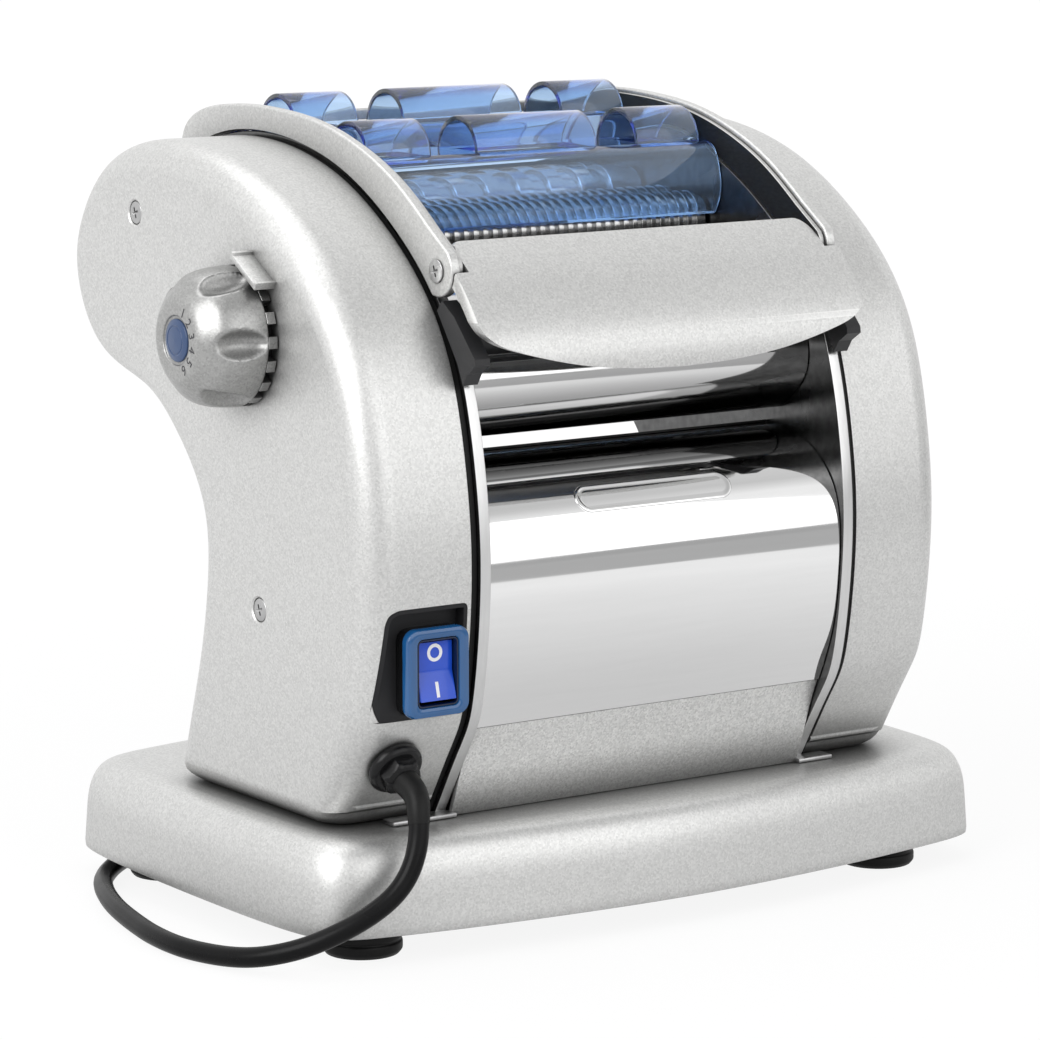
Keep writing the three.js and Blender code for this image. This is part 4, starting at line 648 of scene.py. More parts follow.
def slab(name, outline, low, high, loop=side_loop, edge=0.4, steps=2, material=None, crisp=35):
    """An outline carried along an axis, with both its edges rounded."""
    loops = []
    turns = [i / steps for i in range(steps + 1)]
    for end, way, shares in ((low, edge, turns), (high, -edge, [1 - turn for turn in turns])):
        for angle in [share * pi / 2 for share in shares]:
            loops.append(loop(inset(outline, edge * (1 - sin(angle))), end + way * (1 - cos(angle))))
    return piece(name, *bridged(loops), material, crisp)


def box_tool(low, high):
    """A block between its low and its high corner."""
    (x0, y0, z0), (x1, y1, z1) = low, high
    points = [(x, y, z) for x in (x0, x1) for y in (y0, y1) for z in (z0, z1)]
    faces = [(0, 1, 3, 2), (4, 6, 7, 5), (0, 4, 5, 1), (2, 3, 7, 6), (0, 2, 6, 4), (1, 5, 7, 3)]
    return piece("tool", points, faces)


def rod_tool(x0, x1, radius, centre, sides=40):
    return turned([(x0, 0), (x0, radius), (x1, radius), (x1, 0)], (0, *centre), (1, 0, 0), sides)


def across(outline, low, high, name="tool"):
    """A side outline carried over the machine's width."""
    return piece(name, *bridged([side_loop(outline, low), side_loop(outline, high)]))


wide_of_all, over_all = 200, 400


def band_tool(low, high):
    """Everything between two heights."""
    return box_tool((-wide_of_all, -wide_of_all, low), (wide_of_all, wide_of_all, high))


def below_base():
    return band_tool(-100, base_top + 0.3)


def refinish(made, material, crisp=40):
    """Shades a carved piece again and gives it one finish."""
    shade(made, crisp)
    made.data.materials.clear()
    made.data.materials.append(material)


bay_half, plate = 77.5, 4.5
plate_outer = bay_half + plate
adjuster = (-12, 212.6)
fixed_roller = (-41.4, 212.6)
narrow_cutters = ((-2.5, 241.5), (19.5, 241.5))
wide_cutters = ((44.70, 247.9), (66.70, 247.9))
hood_pivot = (-72, 238)

# Bare steel: fine streaks along the way it was rolled or turned, and a faint uneven polish.
brushed, brushed_place, brushed_in, brushed_out = effect(
    "brushed_steel", [("Across", "Vector", (40.0, 1600.0, 1600.0)), ("Blotch Scale", "Float", 18.0)],
    ["Streak", "Blotch"],
)
stretched = node(brushed, "VectorMath", {0: brushed_place, 1: brushed_in["Across"]}, operation="MULTIPLY")
streak = node(brushed, "TexNoise", {"Vector": stretched.outputs[0], "Scale": 1.0, "Detail": 3.0})
blotch = node(brushed, "TexNoise", {
    "Vector": brushed_place, "Scale": brushed_in["Blotch Scale"], "Detail": 3.0,
})
deliver(brushed, brushed_out, streak.outputs[0], blotch.outputs[0])


def steel(name, low, high, roughness, streaks, spread=0.25, bump=0.04):
    """Bare steel between two greys, its streaks given per metre along each axis."""
    material, tree, shader = blank_material(name)
    marks = placed(tree, brushed, Across=streaks)
    colour = blended(tree, marks["Streak"], (low, low, low, 1), (high, high, high, 1))
    surface(tree, shader, colour, marks["Blotch"], roughness, spread, marks["Streak"], bump, 0.00002)
    shader.inputs["Metallic"].default_value = 1
    return material


def dark_faces(material, grey):
    """Darkens the faces that look along the machine, and leaves the cut edges bright."""
    tree = material.node_tree
    shader = tree.nodes["Principled BSDF"]
    facing = node(tree, "SeparateXYZ", {"Vector": node(tree, "TexCoord").outputs["Normal"]}).outputs["X"]
    mask = spread_over(tree, reckoned(tree, "ABSOLUTE", facing), 0.75, 0.95)
    bright = shader.inputs["Base Color"].links[0].from_socket
    uneven = node(tree, "TexNoise", {"Scale": 60.0, "Detail": 3.0})
    dark = ramp(tree, uneven.outputs[0], [(0.3, grey * 0.8), (0.7, grey * 1.2)])
    tree.links.new(blended(tree, mask, bright, dark), shader.inputs["Base Color"])
    return material


along_height = (900.0, 900.0, 40.0)
satin_steel = steel("satin_steel", 0.42, 0.56, 0.32, along_height)
dark_faced_plate = dark_faces(steel("dark_faced_plate", 0.62, 0.76, 0.3, along_height), 0.13)
gear_steel = steel("gear_steel", 0.3, 0.46, 0.38, (700.0, 700.0, 700.0))

roll_centres = (*narrow_cutters, *wide_cutters)
plate_holes = [(fixed_roller, 5.3), *[(c, 4.3) for c in roll_centres], (hood_pivot, 10.1),
               ((-63, 57.78), 2.8), ((86, 244.2), 2.8)]
gear_holes = [((-25.8453, 118.567), 9.3), ((2.0747, 195.2764), 3.3), ((-13.6351, 152.114), 3.3)]
for side, name, holes in (
    (1, "right", [*plate_holes, (adjuster, 8), *gear_holes]), (-1, "left", [*plate_holes, (adjuster, 11.3)]),
):
    low, high = sorted((side * bay_half, side * plate_outer))
    cheek = slab(f"side_plate_{name}", inset(side_outline, -1.4), low, high, edge=0.5, material=dark_faced_plate)
    carve(cheek, "DIFFERENCE", below_base(), *[rod_tool(low - 2, high + 2, r, c) for c, r in holes])
    shade(cheek)
    even_light(cheek)
    fit(cheek, "machine", "satin_steel", f"{name}_cheek")
dress(gear_steel, "tie_rod_front", "tie_rod_rear")

# ------------------------------------------------------------------ casings and seam gaskets
# Die-cast shells in silver metallic paint over both side plates, with a big soft edge round the outer
# face. Each is held by two countersunk screws, and a black gasket closes the seam to the plate.
rim, casing_depth, casing_round = 84.5, 42, 12
face = rim + casing_depth
casing_screws = (side_point((0.302, 0.884)), side_point((-0.102, 0.309)))
recess_floor = -87.5
gland_axis = Vector((0, cos(radians(-151)), sin(radians(-151))))
gland_root = Vector((-108, -0.377 * side_depth, base_top + 0.107 * side_rise))


def casing_loops(skin, side, rounds):
    """A casing's skin from its seam out to its face, with a hair's bevel at the gasket."""
    radius = casing_round - skin
    rows = [(skin, rim)] if skin else [(0.5, rim), (0.12, rim + 0.2), (0, rim + 0.6)]
    for i in range(rounds + 1):
        angle = i / rounds * pi / 2
        rows.append((skin + radius * (1 - cos(angle)), face - skin - radius + radius * sin(angle)))
    return [side_loop(inset(side_outline, edge), side * x) for edge, x in rows]


def full_casing(side):
    return piece("tool", *bridged(casing_loops(0, side, 12)))


def screw_dish(centre, side):
    profile = [(-14, 0), (-14, 2.3), (-1.05, 2.3), (-1.05, 4.35), (-0.5, 4.5), (0.02, 5.1), (2, 7), (2, 0)]
    return turned(profile, (side * face, *centre), (side, 0, 0), 48)


def screw_boss(centre, side):
    low, high = sorted((side * (face - 15), side * (face - 2.5)))
    return rod_tool(low, high, 5, centre, 32)


foot_round = 9


def casing_foot(side):
    """The metal at the foot of a casing, where its bottom edge is rounded."""
    return carve(band_tool(base_top, base_top + foot_round + 3), "INTERSECT", full_casing(side))


def height_span(z):
    """The front and the back of the side outline at a height near the base."""
    front = [p for p in side_outline if p.x < 0]
    back = [p for p in side_outline if p.x > 0]
    return tuple(min(part, key=lambda p: abs(p.y - z)).x for part in (front, back))


def rounded_below(side):
    """Everything that a casing keeps: its bottom edge is rounded all round but at the seam."""
    loops = []
    for i in range(9):
        angle = i / 8 * pi / 2
        rise = foot_round * (1 - cos(angle))
        pull = foot_round * (1 - sin(angle))
        low, high = height_span(base_top + rise)
        ring = rounded_rectangle(((low + pull * 0.8, -60), (high - pull * 1.15, face - pull)), 10)
        loops.append([Vector((side * p.y, p.x, base_top + rise)) for p in ring])
    ring = rounded_rectangle(((-190, -60), (190, 190)), 10)
    loops.append([Vector((side * p.y, p.x, base_top + foot_round + 0.2)) for p in ring])
    loops.append([Vector((side * p.y, p.x, over_all)) for p in ring])
    return piece("tool", *bridged(loops))


def casing(name, side, added=(), holes=()):
    """A hollow shell with its screw bosses, its rounded foot, its holes and the dishes of its screws."""
    skins = casing_loops(2.6, side, 3)[::-1] + casing_loops(0, side, 12)
    made = piece(f"casing_{name}", *bridged(skins), silver_paint, 35)
    carve(made, "UNION", *added, casing_foot(side), *[screw_boss(c, side) for c in casing_screws])
    carve(made, "INTERSECT", rounded_below(side))
    carve(made, "DIFFERENCE", below_base(), *holes, *[screw_dish(c, side) for c in casing_screws])
    shade(made, 30)
    even_light(made)
    fit(made, "machine", "silver_paint", f"{name}_casing")


casing("right", 1)

# The left casing also has the switch recess in its front, and the holes of the gland and the knob.
recess_right, recess_bottom, recess_width, recess_height = -86.2, 85.5, 35.8, 40
recess_shares = [(0, 0), (0, 1), (0.8, 1), (0.89, 0.965), (0.925, 0.89), (1, 0.08), (0.965, 0)]
recess_corners = [
    Vector((recess_right - along * recess_width, recess_bottom + up * recess_height))
    for along, up in recess_shares
]
well_ahead = -150


def rounded_outline(outline, radius, steps=4):
    """A closed outline with its corners rounded."""
    line = []
    for trio in zip(outline[-1:] + outline[:-1], outline, outline[1:] + outline[:1]):
        line += rounded_corner(*trio, radius, steps)
    return line


def centred_box(width, height, radius, steps=5):
    """A rectangle with round corners about the middle of the switch."""
    half = Vector((width, height)) / 2
    return rounded_rectangle((switch_middle - half, switch_middle + half), radius, steps)


def front_body(*rows, name="tool"):
    """A body through front outlines, each at its depth."""
    return piece(name, *bridged([front_loop(outline, y) for outline, y in rows]))


switch_middle = Vector((-100, 102.8))
switch_hole = centred_box(20.6, 27.6, 4.5)
recess_line = rounded_outline(recess_corners, 2.2)
pocket = front_body((inset(recess_line, -2.6), well_ahead), (inset(recess_line, -2.6), recess_floor + 2.6))
carve(pocket, "INTERSECT", full_casing(-1))
casing("left", -1, [pocket], [
    front_body(
        (inset(recess_line, -9), -112), (inset(recess_line, -0.9), -96.5), (recess_line, -94),
        (recess_line, recess_floor + 0.8), (inset(recess_line, 0.25), recess_floor + 0.25),
        (inset(recess_line, 0.8), recess_floor),
    ),
    front_body((switch_hole, recess_floor - 2), (switch_hole, recess_floor + 4.6)),
    turned([(-10.4, 0), (-10.4, 6.8), (2.6, 6.8), (2.6, 0)], gland_root, gland_axis, 18),
    rod_tool(-face - 2, -rim, 5.3, adjuster),
])

sides_named = ((1, "right"), (-1, "left"))
for side, name in sides_named:
    low, high = sorted((side * (plate_outer + 0.3), side * (rim - 0.3)))
    ring = across(inset(side_outline, 0.5), low, high, f"seam_gasket_{name}_strip")
    carve(ring, "DIFFERENCE", across(inset(side_outline, 5.5), low - 1, high + 1), below_base())
    refinish(ring, black_rubber)
    fit(ring, "machine", "black_plastic", f"{name}_seam_gasket")


def cross_screw(name, place, axis, length=12):
    """A pan-head screw with a tapered cross recess."""
    head, shank, crown, slot_half = 4.2, 2.0, 0.75, 0.42
    profile = rounded_profile([
        (-length, 0), (-length, shank), (-crown, shank), (-crown, head),
        (-0.28, head * 0.97), (0, head * 0.55), (0.02, 0),
    ], 0.3, 3)
    screw = turned(profile, place, axis, 40, None, name)
    lean = Vector((0, 0, 1)).rotation_difference(Vector(axis).normalized())
    for turn in (20, 110):
        slot_lean = lean @ Quaternion((0, 0, 1), radians(turn))
        carve(screw, "DIFFERENCE", piece("tool", *bridged([[
            Vector(place) + slot_lean @ Vector((u * half, v * slot_half, along))
            for u, v in ((-1, -1), (1, -1), (1, 1), (-1, 1))
        ] for along, half in ((0.6, 2.5), (-1.6, 1.0))])))
    refinish(screw, satin_steel, 35)
    return screw


for side, name in sides_named:
    for level, centre in zip(("upper", "lower"), casing_screws):
        screw = cross_screw(f"{name}_screw_{level}", (side * (face - 0.2), *centre), (side, 0, 0))
        fit(screw, "machine", "satin_steel", f"{name}_casing_screw_{level}")

# The thickness index: a thin plate with raised ends that stands out over the knob's rim.
index_lean = radians(31)
index_profile = [
    (-9.5, 27.3), (9.5, 27.3), (9.5, 30.1), (8.5, 30.1), (8, 29.3), (-8, 29.3), (-8.5, 30.1), (-9.5, 30.1),
]
index_outline = [
    Vector((
        adjuster[0] + across * cos(index_lean) - up * sin(index_lean),
        adjuster[1] + across * sin(index_lean) + up * cos(index_lean),
    ))
    for across, up in index_profile
]
index_plate = slab("thickness_index", index_outline, -face - 8.4, -face + 1.5, edge=0.3, material=silver_paint)
fit(index_plate, "machine", "silver_paint")

# Small steel tabs at the foot of the plates hold them down on the base.
tab_section = [(-72.5, 0.2), (-65, 0.2), (-65, 1.9), (-72.5, 1.9)]
tab_line = rounded_outline([Vector((y, base_top + rise)) for y, rise in tab_section], 0.7)
for side, name, reach in ((-1, "left", 103), (1, "right", 92)):
    low, high = sorted((side * 76.5, side * reach))
    tab = slab(f"plate_tab_{name}", tab_line, low, high, edge=0.3, material=satin_steel)
    fit(tab, "machine", "satin_steel")

# ------------------------------------------------------------------ gland
# A black nylon gland clamps the lead on the slanted foot of the left casing: a round collar,
# a hexagonal clamp nut and a short tapered sleeve that bends with the cord.
collar_profile = rounded_profile([
    (-5.2, 0), (-5.2, 6.5), (0.9, 6.5), (0.9, 10.2), (3.4, 10.2), (5, 8.9), (5, 0),
], 1.3, 4)
gland = turned(collar_profile, gland_root, gland_axis, 72, black_plastic, "gland_collar")
fit(gland, "machine", "black_plastic", "cord_gland")
nut_lean = Vector((0, 0, 1)).rotation_difference(gland_axis)
nut_rows = [(4.2, 7.6, 0.0), (7.4, 7.6, 0.0), (8.6, 7.0, 0.35), (9.5, 5.6, 0.8), (9.9, 4.6, 1.0)]
nut_turns = [2 * pi * k / 48 for k in range(48)]
nut_loops = []
for along, reach, round_share in nut_rows:
    loop = []
    for angle in nut_turns:
        hexagon = cos(pi / 6) / cos((angle % (pi / 3)) - pi / 6)
        radius = reach * (hexagon * (1 - round_share) + round_share)
        loop.append(gland_root + nut_lean @ Vector((radius * cos(angle), radius * sin(angle), along)))
    nut_loops.append(loop)
gland_nut = piece("gland_nut", *bridged(nut_loops), black_plastic, 35)
fit(gland_nut, "machine", "black_plastic")
sleeve_line = [p for p in cord_line if (p - cord_line[0]).length < 17][:64]
sleeve_line = sleeve_line[:: max(1, len(sleeve_line) // 24)]
sleeve_line[0] = sleeve_line[0] - gland_axis * 0.9
sleeve_radii = [4.9 - 1.1 * i / (len(sleeve_line) - 1) for i in range(len(sleeve_line))]
sleeve = piece("gland_sleeve", *bridged(swept_loops(sleeve_line, sleeve_radii, 32)), black_rubber, 50)
fit(sleeve, "machine", "black_rubber")

# ------------------------------------------------------------------ covers
# Bent steel sheets between the side plates. The lower and upper covers are polished like a mirror,
# the panels below and behind them have a coarse silver texture coat.
cover_half = bay_half - 0.3


def beside(line, distance):
    moved = []
    for i, point in enumerate(line):
        along = (line[min(i + 1, len(line) - 1)] - line[max(i - 1, 0)]).normalized()
        moved.append(Vector((point.x + along.y * distance, point.y - along.x * distance)))
    return moved


def bent_sheet(name, line, thickness, half, material, edge=0.35):
    """A sheet that follows a line seen from the side, its thickness to the right of the line."""
    outline = line + beside(line, thickness)[::-1]
    return slab(name, outline, -half, half, edge=edge, steps=2, material=material, crisp=40)


def spline(points, steps):
    """A smooth line through points that swings out less between them than smooth_line does."""
    points = [Vector(p) for p in points]
    last = len(points) - 1
    line = []
    for step in range(steps + 1):
        place = step / steps * last
        i = min(int(place), last - 1)
        t = place - i
        a, b = points[max(i - 1, 0)], points[i]
        c, d = points[i + 1], points[min(i + 2, last)]
        v0, v1 = (c - a) / 2, (d - b) / 2
        line.append((2 * b - 2 * c + v0 + v1) * t**3 + (-3 * b + 3 * c - 2 * v0 - v1) * t**2 + v0 * t + b)
    return line


along_width = (30.0, 500.0, 500.0)
polished_steel = steel("polished_steel", 0.81, 0.85, 0.05, along_width, 0.4, 0.006)
texture_coat = painted("texture_coat", 0.62, 0.97, 0.45, 0.7, 1.0, 0.0002)

lower_shares = [
    (-0.394, 0.146), (-0.431, 0.232), (-0.446, 0.318), (-0.449, 0.382), (-0.4395, 0.438),
    (-0.4095, 0.485), (-0.357, 0.521), (-0.295, 0.538), (-0.238, 0.54),
]
lower_line = side_curve(lower_shares, 90) + [side_point((0.09, 0.456))]
lower_cover = bent_sheet("lower_cover_sheet", lower_line, 1.6, cover_half, polished_steel)
even_light(lower_cover)
# Painted shade: a black sheet on the lower cover's top stands in for the dark gap that the upper cover mirrors.
deck_shares = [(-0.236, 0.541), (0.085, 0.461), (0.086, 0.4645), (-0.236, 0.5445)]
deck_line = [side_point(s) for s in deck_shares]
deck = slab("cover_deck_painted_shade", deck_line, -cover_half, cover_half, edge=0.1, steps=1, material=black_rubber)
fit(deck, "machine", "black_plastic")
fit(lower_cover, "machine", "polished_steel", "lower_cover")

front_line = side_curve([(-0.331, 0.002), (-0.351, 0.05), (-0.372, 0.105), (-0.3905, 0.1445)], 24)
front_line[0] = Vector((front_line[0].x, base_top + 0.4))
front_panel = bent_sheet("front_panel_sheet", front_line, 2, cover_half, texture_coat)
fit(front_panel, "machine", "textured_paint", "front_panel")

rear_line = side_curve([(0.088, 0.441), (0.087, 0.356), (0.108, 0.227), (0.148, 0.103), (0.178, 0.002)], 36)
rear_line[-1] = Vector((rear_line[-1].x, base_top + 0.4))
rear_panel = bent_sheet("rear_panel_sheet", rear_line, 2, cover_half, texture_coat)
fit(rear_panel, "machine", "textured_paint", "rear_panel")

upper_shares = [
    (-1.333, -0.474), (-2.113, -0.507), (-2.323, -0.773), (-2.345, -1.273),
    (-2.188, -1.705), (-1.798, -2.155), (-1.183, -2.571), (-0.478, -2.637),
]
upper_line = spline([(fixed_roller[0] + u * 14, fixed_roller[1] + v * 14) for u, v in upper_shares], 70)[::-1]

# The upper cover's lower part turns in over the dark gap above the lower cover; its colour there is darkened by
# height, a painted reflection of that gap.
shaded_steel = steel("shaded_steel", 0.78, 0.84, 0.08, along_width, 0.4, 0.006)
shaded_tree = shaded_steel.node_tree
shaded_place = node(shaded_tree, "SeparateXYZ", {"Vector": node(shaded_tree, "TexCoord").outputs["Object"]})
out_of_shade = spread_over(shaded_tree, shaded_place.outputs["Z"], 0.178, 0.199)
shaded_colour = shaded_tree.nodes["Principled BSDF"].inputs["Base Color"]
bright = shaded_colour.links[0].from_socket
shaded_tree.links.new(blended(shaded_tree, out_of_shade, (0.03, 0.03, 0.03, 1), bright), shaded_colour)
upper_cover = bent_sheet("upper_cover_sheet", upper_line, 1.6, cover_half, shaded_steel)
fit(upper_cover, "machine", "polished_steel", "upper_cover")

# A blank raised pad with round ends on the lower cover, where a maker would put a badge.
pad_middle, pad_half_length, pad_half_height = -2, 34, 5.6
pad_seat = Vector((-86.8, 155.4))
pad_arc = [0.0]
for a, b in zip(lower_line, lower_line[1:]):
    pad_arc.append(pad_arc[-1] + (b - a).length)
pad_start = min(range(len(lower_line)), key=lambda i: (lower_line[i] - pad_seat).length)


def on_cover(x, along, rise):
    """A point over the lower cover: along it from the pad's seat, and out from it."""
    place = pad_arc[pad_start] + along
    i = max(k for k in range(len(pad_arc) - 1) if pad_arc[k] <= place)
    way = (lower_line[i + 1] - lower_line[i]).normalized()
    spot = lower_line[i] + way * (place - pad_arc[i])
    return Vector((x, spot.x - way.y * rise, spot.y + way.x * rise))


pad_rows = [
    (0, -0.4), (0, 0.25), (0.12, 0.42), (0.4, 0.5), (1.2, 0.5), (1.5, 0.38), (2.6, 0.36), (4, 0.36),
    (5.4, 0.36),
]
pad_flat = pad_half_length - pad_half_height
pad_loops = []
for pulled, rise in pad_rows:
    radius = pad_half_height - pulled
    loop = []
    for angle in [2 * pi * (k + 0.5) / 64 for k in range(64)]:
        end = pad_middle + (pad_flat if cos(angle) > 0 else -pad_flat)
        loop.append(on_cover(end + radius * cos(angle), radius * sin(angle), rise))
    pad_loops.append(loop)
badge_pad = piece("blank_pad", *bridged(pad_loops), polished_steel, 50)
fit(badge_pad, "machine", "polished_steel")

rear_cover = across(inset(side_outline, 0.6), -cover_half, cover_half, "rear_cover_sheet")
carve(
    rear_cover, "DIFFERENCE", across(inset(side_outline, 2.2), -bay_half, bay_half),
    box_tool((-90, -210, -100), (90, 80, over_all)), box_tool((-90, -210, 262), (90, 210, over_all)),
)
refinish(rear_cover, polished_steel)
fit(rear_cover, "machine", "polished_steel", "rear_cover")

# ------------------------------------------------------------------ rolls, cutters and gears
# Ground steel rolls for the sheet, ribbed cutter rolls for the strands, and behind the right plate the
# gears that drive them from the motor. They are seen through the slots and the clear guard.
roller_steel = steel("roller_steel", 0.6, 0.72, 0.16, (30.0, 900.0, 900.0), 0.2, 0.02)
roll_half = 76.3


def roll_profile(radius, shaft, right_end):
    return rounded_profile([
        (-84.2, 0), (-84.2, shaft), (-roll_half, shaft), (-roll_half, radius), (roll_half, radius),
        (roll_half, shaft), (right_end, shaft), (right_end, 0),
    ], 0.6, 3)


fixed = turned(roll_profile(14, 5, 97.5), (0, *fixed_roller), (1, 0, 0), 72, roller_steel, "sheet_roller_fixed")
fit(fixed, "fixed_roller", "polished_steel", "smooth_roller_fixed")
dress(roller_steel, "smooth_roller_sliding")
cutter_steel = steel("cutter_steel", 0.5, 0.64, 0.22, (900.0, 900.0, 60.0), 0.2, 0.02)
cutter_radius, cutter_root = 11.3, 9.7


def cutter(kind, row, centre, pitch, offset):
    """A cutter roll with its real fine ribs. Its hidden shaft ends are left out, and on two rolls a gear."""
    rib = pitch / 2 - 0.25
    profile = [(-roll_half, 0), (-roll_half, cutter_root)]
    start = -roll_half + 0.4 + offset * pitch
    while start + rib < roll_half:
        end = start + rib
        profile += [
            (start, cutter_root), (start + 0.06, cutter_radius - 0.15), (start + 0.2, cutter_radius),
            (end - 0.2, cutter_radius), (end - 0.06, cutter_radius - 0.15), (end, cutter_root),
        ]
        start += pitch
    profile += [(roll_half, cutter_root), (roll_half, 0)]
    roll = turned(profile, (0, *centre), (1, 0, 0), 40, cutter_steel, f"{kind}_roll_{row}")
    fit(roll, f"{kind}_{row}", "satin_steel", f"{kind}_cutter_{row}")


for kind, centres, pitch in (("narrow", narrow_cutters, 4.2), ("wide", wide_cutters, 12.6)):
    cutter(kind, "front", centres[0], pitch, 0)
    cutter(kind, "rear", centres[1], pitch, 0.5)
dress(
    gear_steel, "roller_gear", "narrow_cutter_gear", "wide_cutter_gear", "main_gear", "lay_gear",
    "motor_pinion", "motor", "right_roller_bearing", "left_roller_bearing", "hood_axle", "adjuster_spindle",
)
dress(satin_steel, "cutter_comb")

# ------------------------------------------------------------------ apron
# A pressed plate in silver paint over the front. Its lower edge is a wide bow with a folded rim, and
# two lugs behind it carry the axle of the hood. Dark brackets hold it to the casings.
apron_half, apron_neck = 83.5, 77.7
apron_shares = [
    (-0.331, 0.8745), (-0.393, 0.834), (-0.436, 0.794), (-0.469, 0.753), (-0.486, 0.717), (-0.4885, 0.675),
]
apron_belly = [(1, 0.765), (0.97, 0.744), (0.86, 0.7235), (0.56, 0.6965), (0.28, 0.6835), (0, 0.6795)]
apron_line = side_curve(apron_shares, 60)[::-1]
apron_top = side_point(apron_shares[0]).y
apron_step = base_top + 0.834 * side_rise
apron_corner = 5


def arc(centre, radius, start, end, steps):
    """Points on an arc, in even steps."""
    turns = [start + i / steps * (end - start) for i in range(steps + 1)]
    return [Vector((centre[0] + radius * cos(a), centre[1] + radius * sin(a))) for a in turns]


def apron_outline():
    """The apron seen from the front: a narrower neck, then its full width down to a bowed belly."""
    belly = spline([(wide * apron_half, base_top + rise * side_rise) for wide, rise in apron_belly], 48)
    middle = (apron_neck - apron_corner, apron_top - apron_corner)
    right = [Vector((middle[0], apron_top + 2)), *arc(middle, apron_corner, pi / 2, 0, 6)]
    for pulled, dropped in ((apron_half - apron_neck, 0), (1.2, 0), (0.3, 0.4), (0, 1.3)):
        right.append(Vector((apron_half - pulled, apron_step - dropped)))
    right += belly
    return right + [Vector((-p.x, p.y)) for p in right[-2::-1]]


apron_face, apron_inside = apron_outline(), -60
apron = front_body((apron_face, well_ahead), (apron_face, apron_inside), name="apron_plate")
apron_depth = apron_line + beside(apron_line, 5)[::-1]
carve(apron, "INTERSECT", across(apron_depth, -apron_half - 1, apron_half + 1))
hollow_face = [
    Vector((p.x, p.y + 6 if p.y > apron_top - 4 else p.y)) for p in inset(apron_face, 1.8)
]
hollow = front_body((hollow_face, well_ahead), (hollow_face, apron_inside))
carve(hollow, "INTERSECT", across(beside(apron_line, 2) + beside(apron_line, 9)[::-1], -90, 90))
carve(apron, "DIFFERENCE", hollow, *[
    rod_tool(*sorted((side * apron_neck, side * (apron_half + 2))), 10.1, hood_pivot, 48) for side in (1, -1)
])
pressed_edge = apron.modifiers.new("pressed_edge", "BEVEL")
pressed_edge.width = 0.9 * mm
pressed_edge.segments = 3
pressed_edge.limit_method = "ANGLE"
pressed_edge.angle_limit = radians(50)
settle(apron)
refinish(apron, silver_paint)


def sheet_normals(made, line, within=0.93):
    """Lets the large faces of a bent sheet shade as its line bends, whatever their facets."""
    heights = [p.y for p in line]
    bends = [atan2((b - a).x, (b - a).y) for a, b in zip(line, line[1:])]
    for _ in range(60):
        even = [(a + 2 * b + c) / 4 for a, b, c in zip(bends, bends[1:], bends[2:])]
        bends = [bends[0], *even, bends[-1]]
    mesh = made.data
    normals = [corner.vector.copy() for corner in mesh.corner_normals]
    for polygon in mesh.polygons:
        for k in polygon.loop_indices:
            z = mesh.vertices[mesh.loops[k].vertex_index].co.z / mm
            i = min(max(bisect_left(heights, z) - 1, 0), len(bends) - 1)
            bend = bends[i]
            if 0 < i < len(bends) - 1:
                off = (z - heights[i]) / (heights[i + 1] - heights[i]) - 0.5
                bend += (bends[i + 1 if off > 0 else i - 1] - bend) * abs(off)
            out = Vector((0, -cos(bend), sin(bend)))
            if polygon.normal.dot(out) > within:
                normals[k] = out
    mesh.normals_split_custom_set(normals)


sheet_normals(apron, apron_line)
fit(apron, "machine", "silver_paint", "apron")
lug_line = [side_point(apron_shares[0]) + Vector((1.2, -2.2)), *arc(hood_pivot, 7, -0.95 * pi, 0.05 * pi, 16)]
for side, name in sides_named:
    low, high = sorted((side * 68, side * 71))
    lug = slab(f"axle_lug_{name}", lug_line, low, high, edge=0.4, material=silver_paint)
    carve(lug, "DIFFERENCE", rod_tool(low - 2, high + 2, 4.5, hood_pivot, 32))
    shade(lug)
    fit(lug, "machine", "silver_paint")

dark_plastic = moulded("dark_plastic", (0.018, 0.018, 0.019), (0.034, 0.034, 0.036), 0.34, gloss=0.3)
# Painted shade: a dark plate behind the apron stands in for the shade in the hollow under it.
shade_plate_line = [Vector(p) for p in ((-67.5, 206.8), (-76, 226), (-74.2, 226.8), (-65.7, 207.6))]
shade_plate = slab("apron_shade_plate", shade_plate_line, -cover_half, cover_half, edge=0.2, material=dark_plastic)
fit(shade_plate, "machine", "dark_plastic")
dress(dark_plastic, "right_apron_bracket", "left_apron_bracket")

# ------------------------------------------------------------------ hood
# Two cast arms in silver paint, joined by a bar at the back, swing the clear guard up about two
# screws at the front. Dark liners close the gap between each arm and the guard.
liner_paint = dark_faces(painted("liner_paint", 0.52, 0.68, 0.4, 0.75), 0.03)
arm_outer, arm_inner = 84, 80.2
arm_shares = [
    (0.49, 0.972), (0.471, 1.007), (0.405, 1.035), (0.295, 1.047), (0.181, 1.047),
    (0.038, 1.035), (-0.095, 1.005), (-0.214, 0.958), (-0.314, 0.898),
]
arm_nose = arc(hood_pivot, 9.3, 0.75 * pi, (0.75 + 5 / 6) * pi, 36)
arm_blank = side_curve(arm_shares, 90) + arm_nose + [side_point((-0.26, 0.74)), side_point((0.4, 0.8))]


def arm_band(name, low, high, edge, edge_round, material):
    """An arm or its liner, cut off below where the hood sits down over the casing."""
    band = slab(name, inset(arm_blank, edge), low, high, edge=edge_round, steps=4, material=material)
    seat = across(inset(side_outline, -2.2), low - 2, high + 2)
    return carve(band, "DIFFERENCE", seat, rod_tool(low - 2, high + 2, 2.3, hood_pivot, 24))


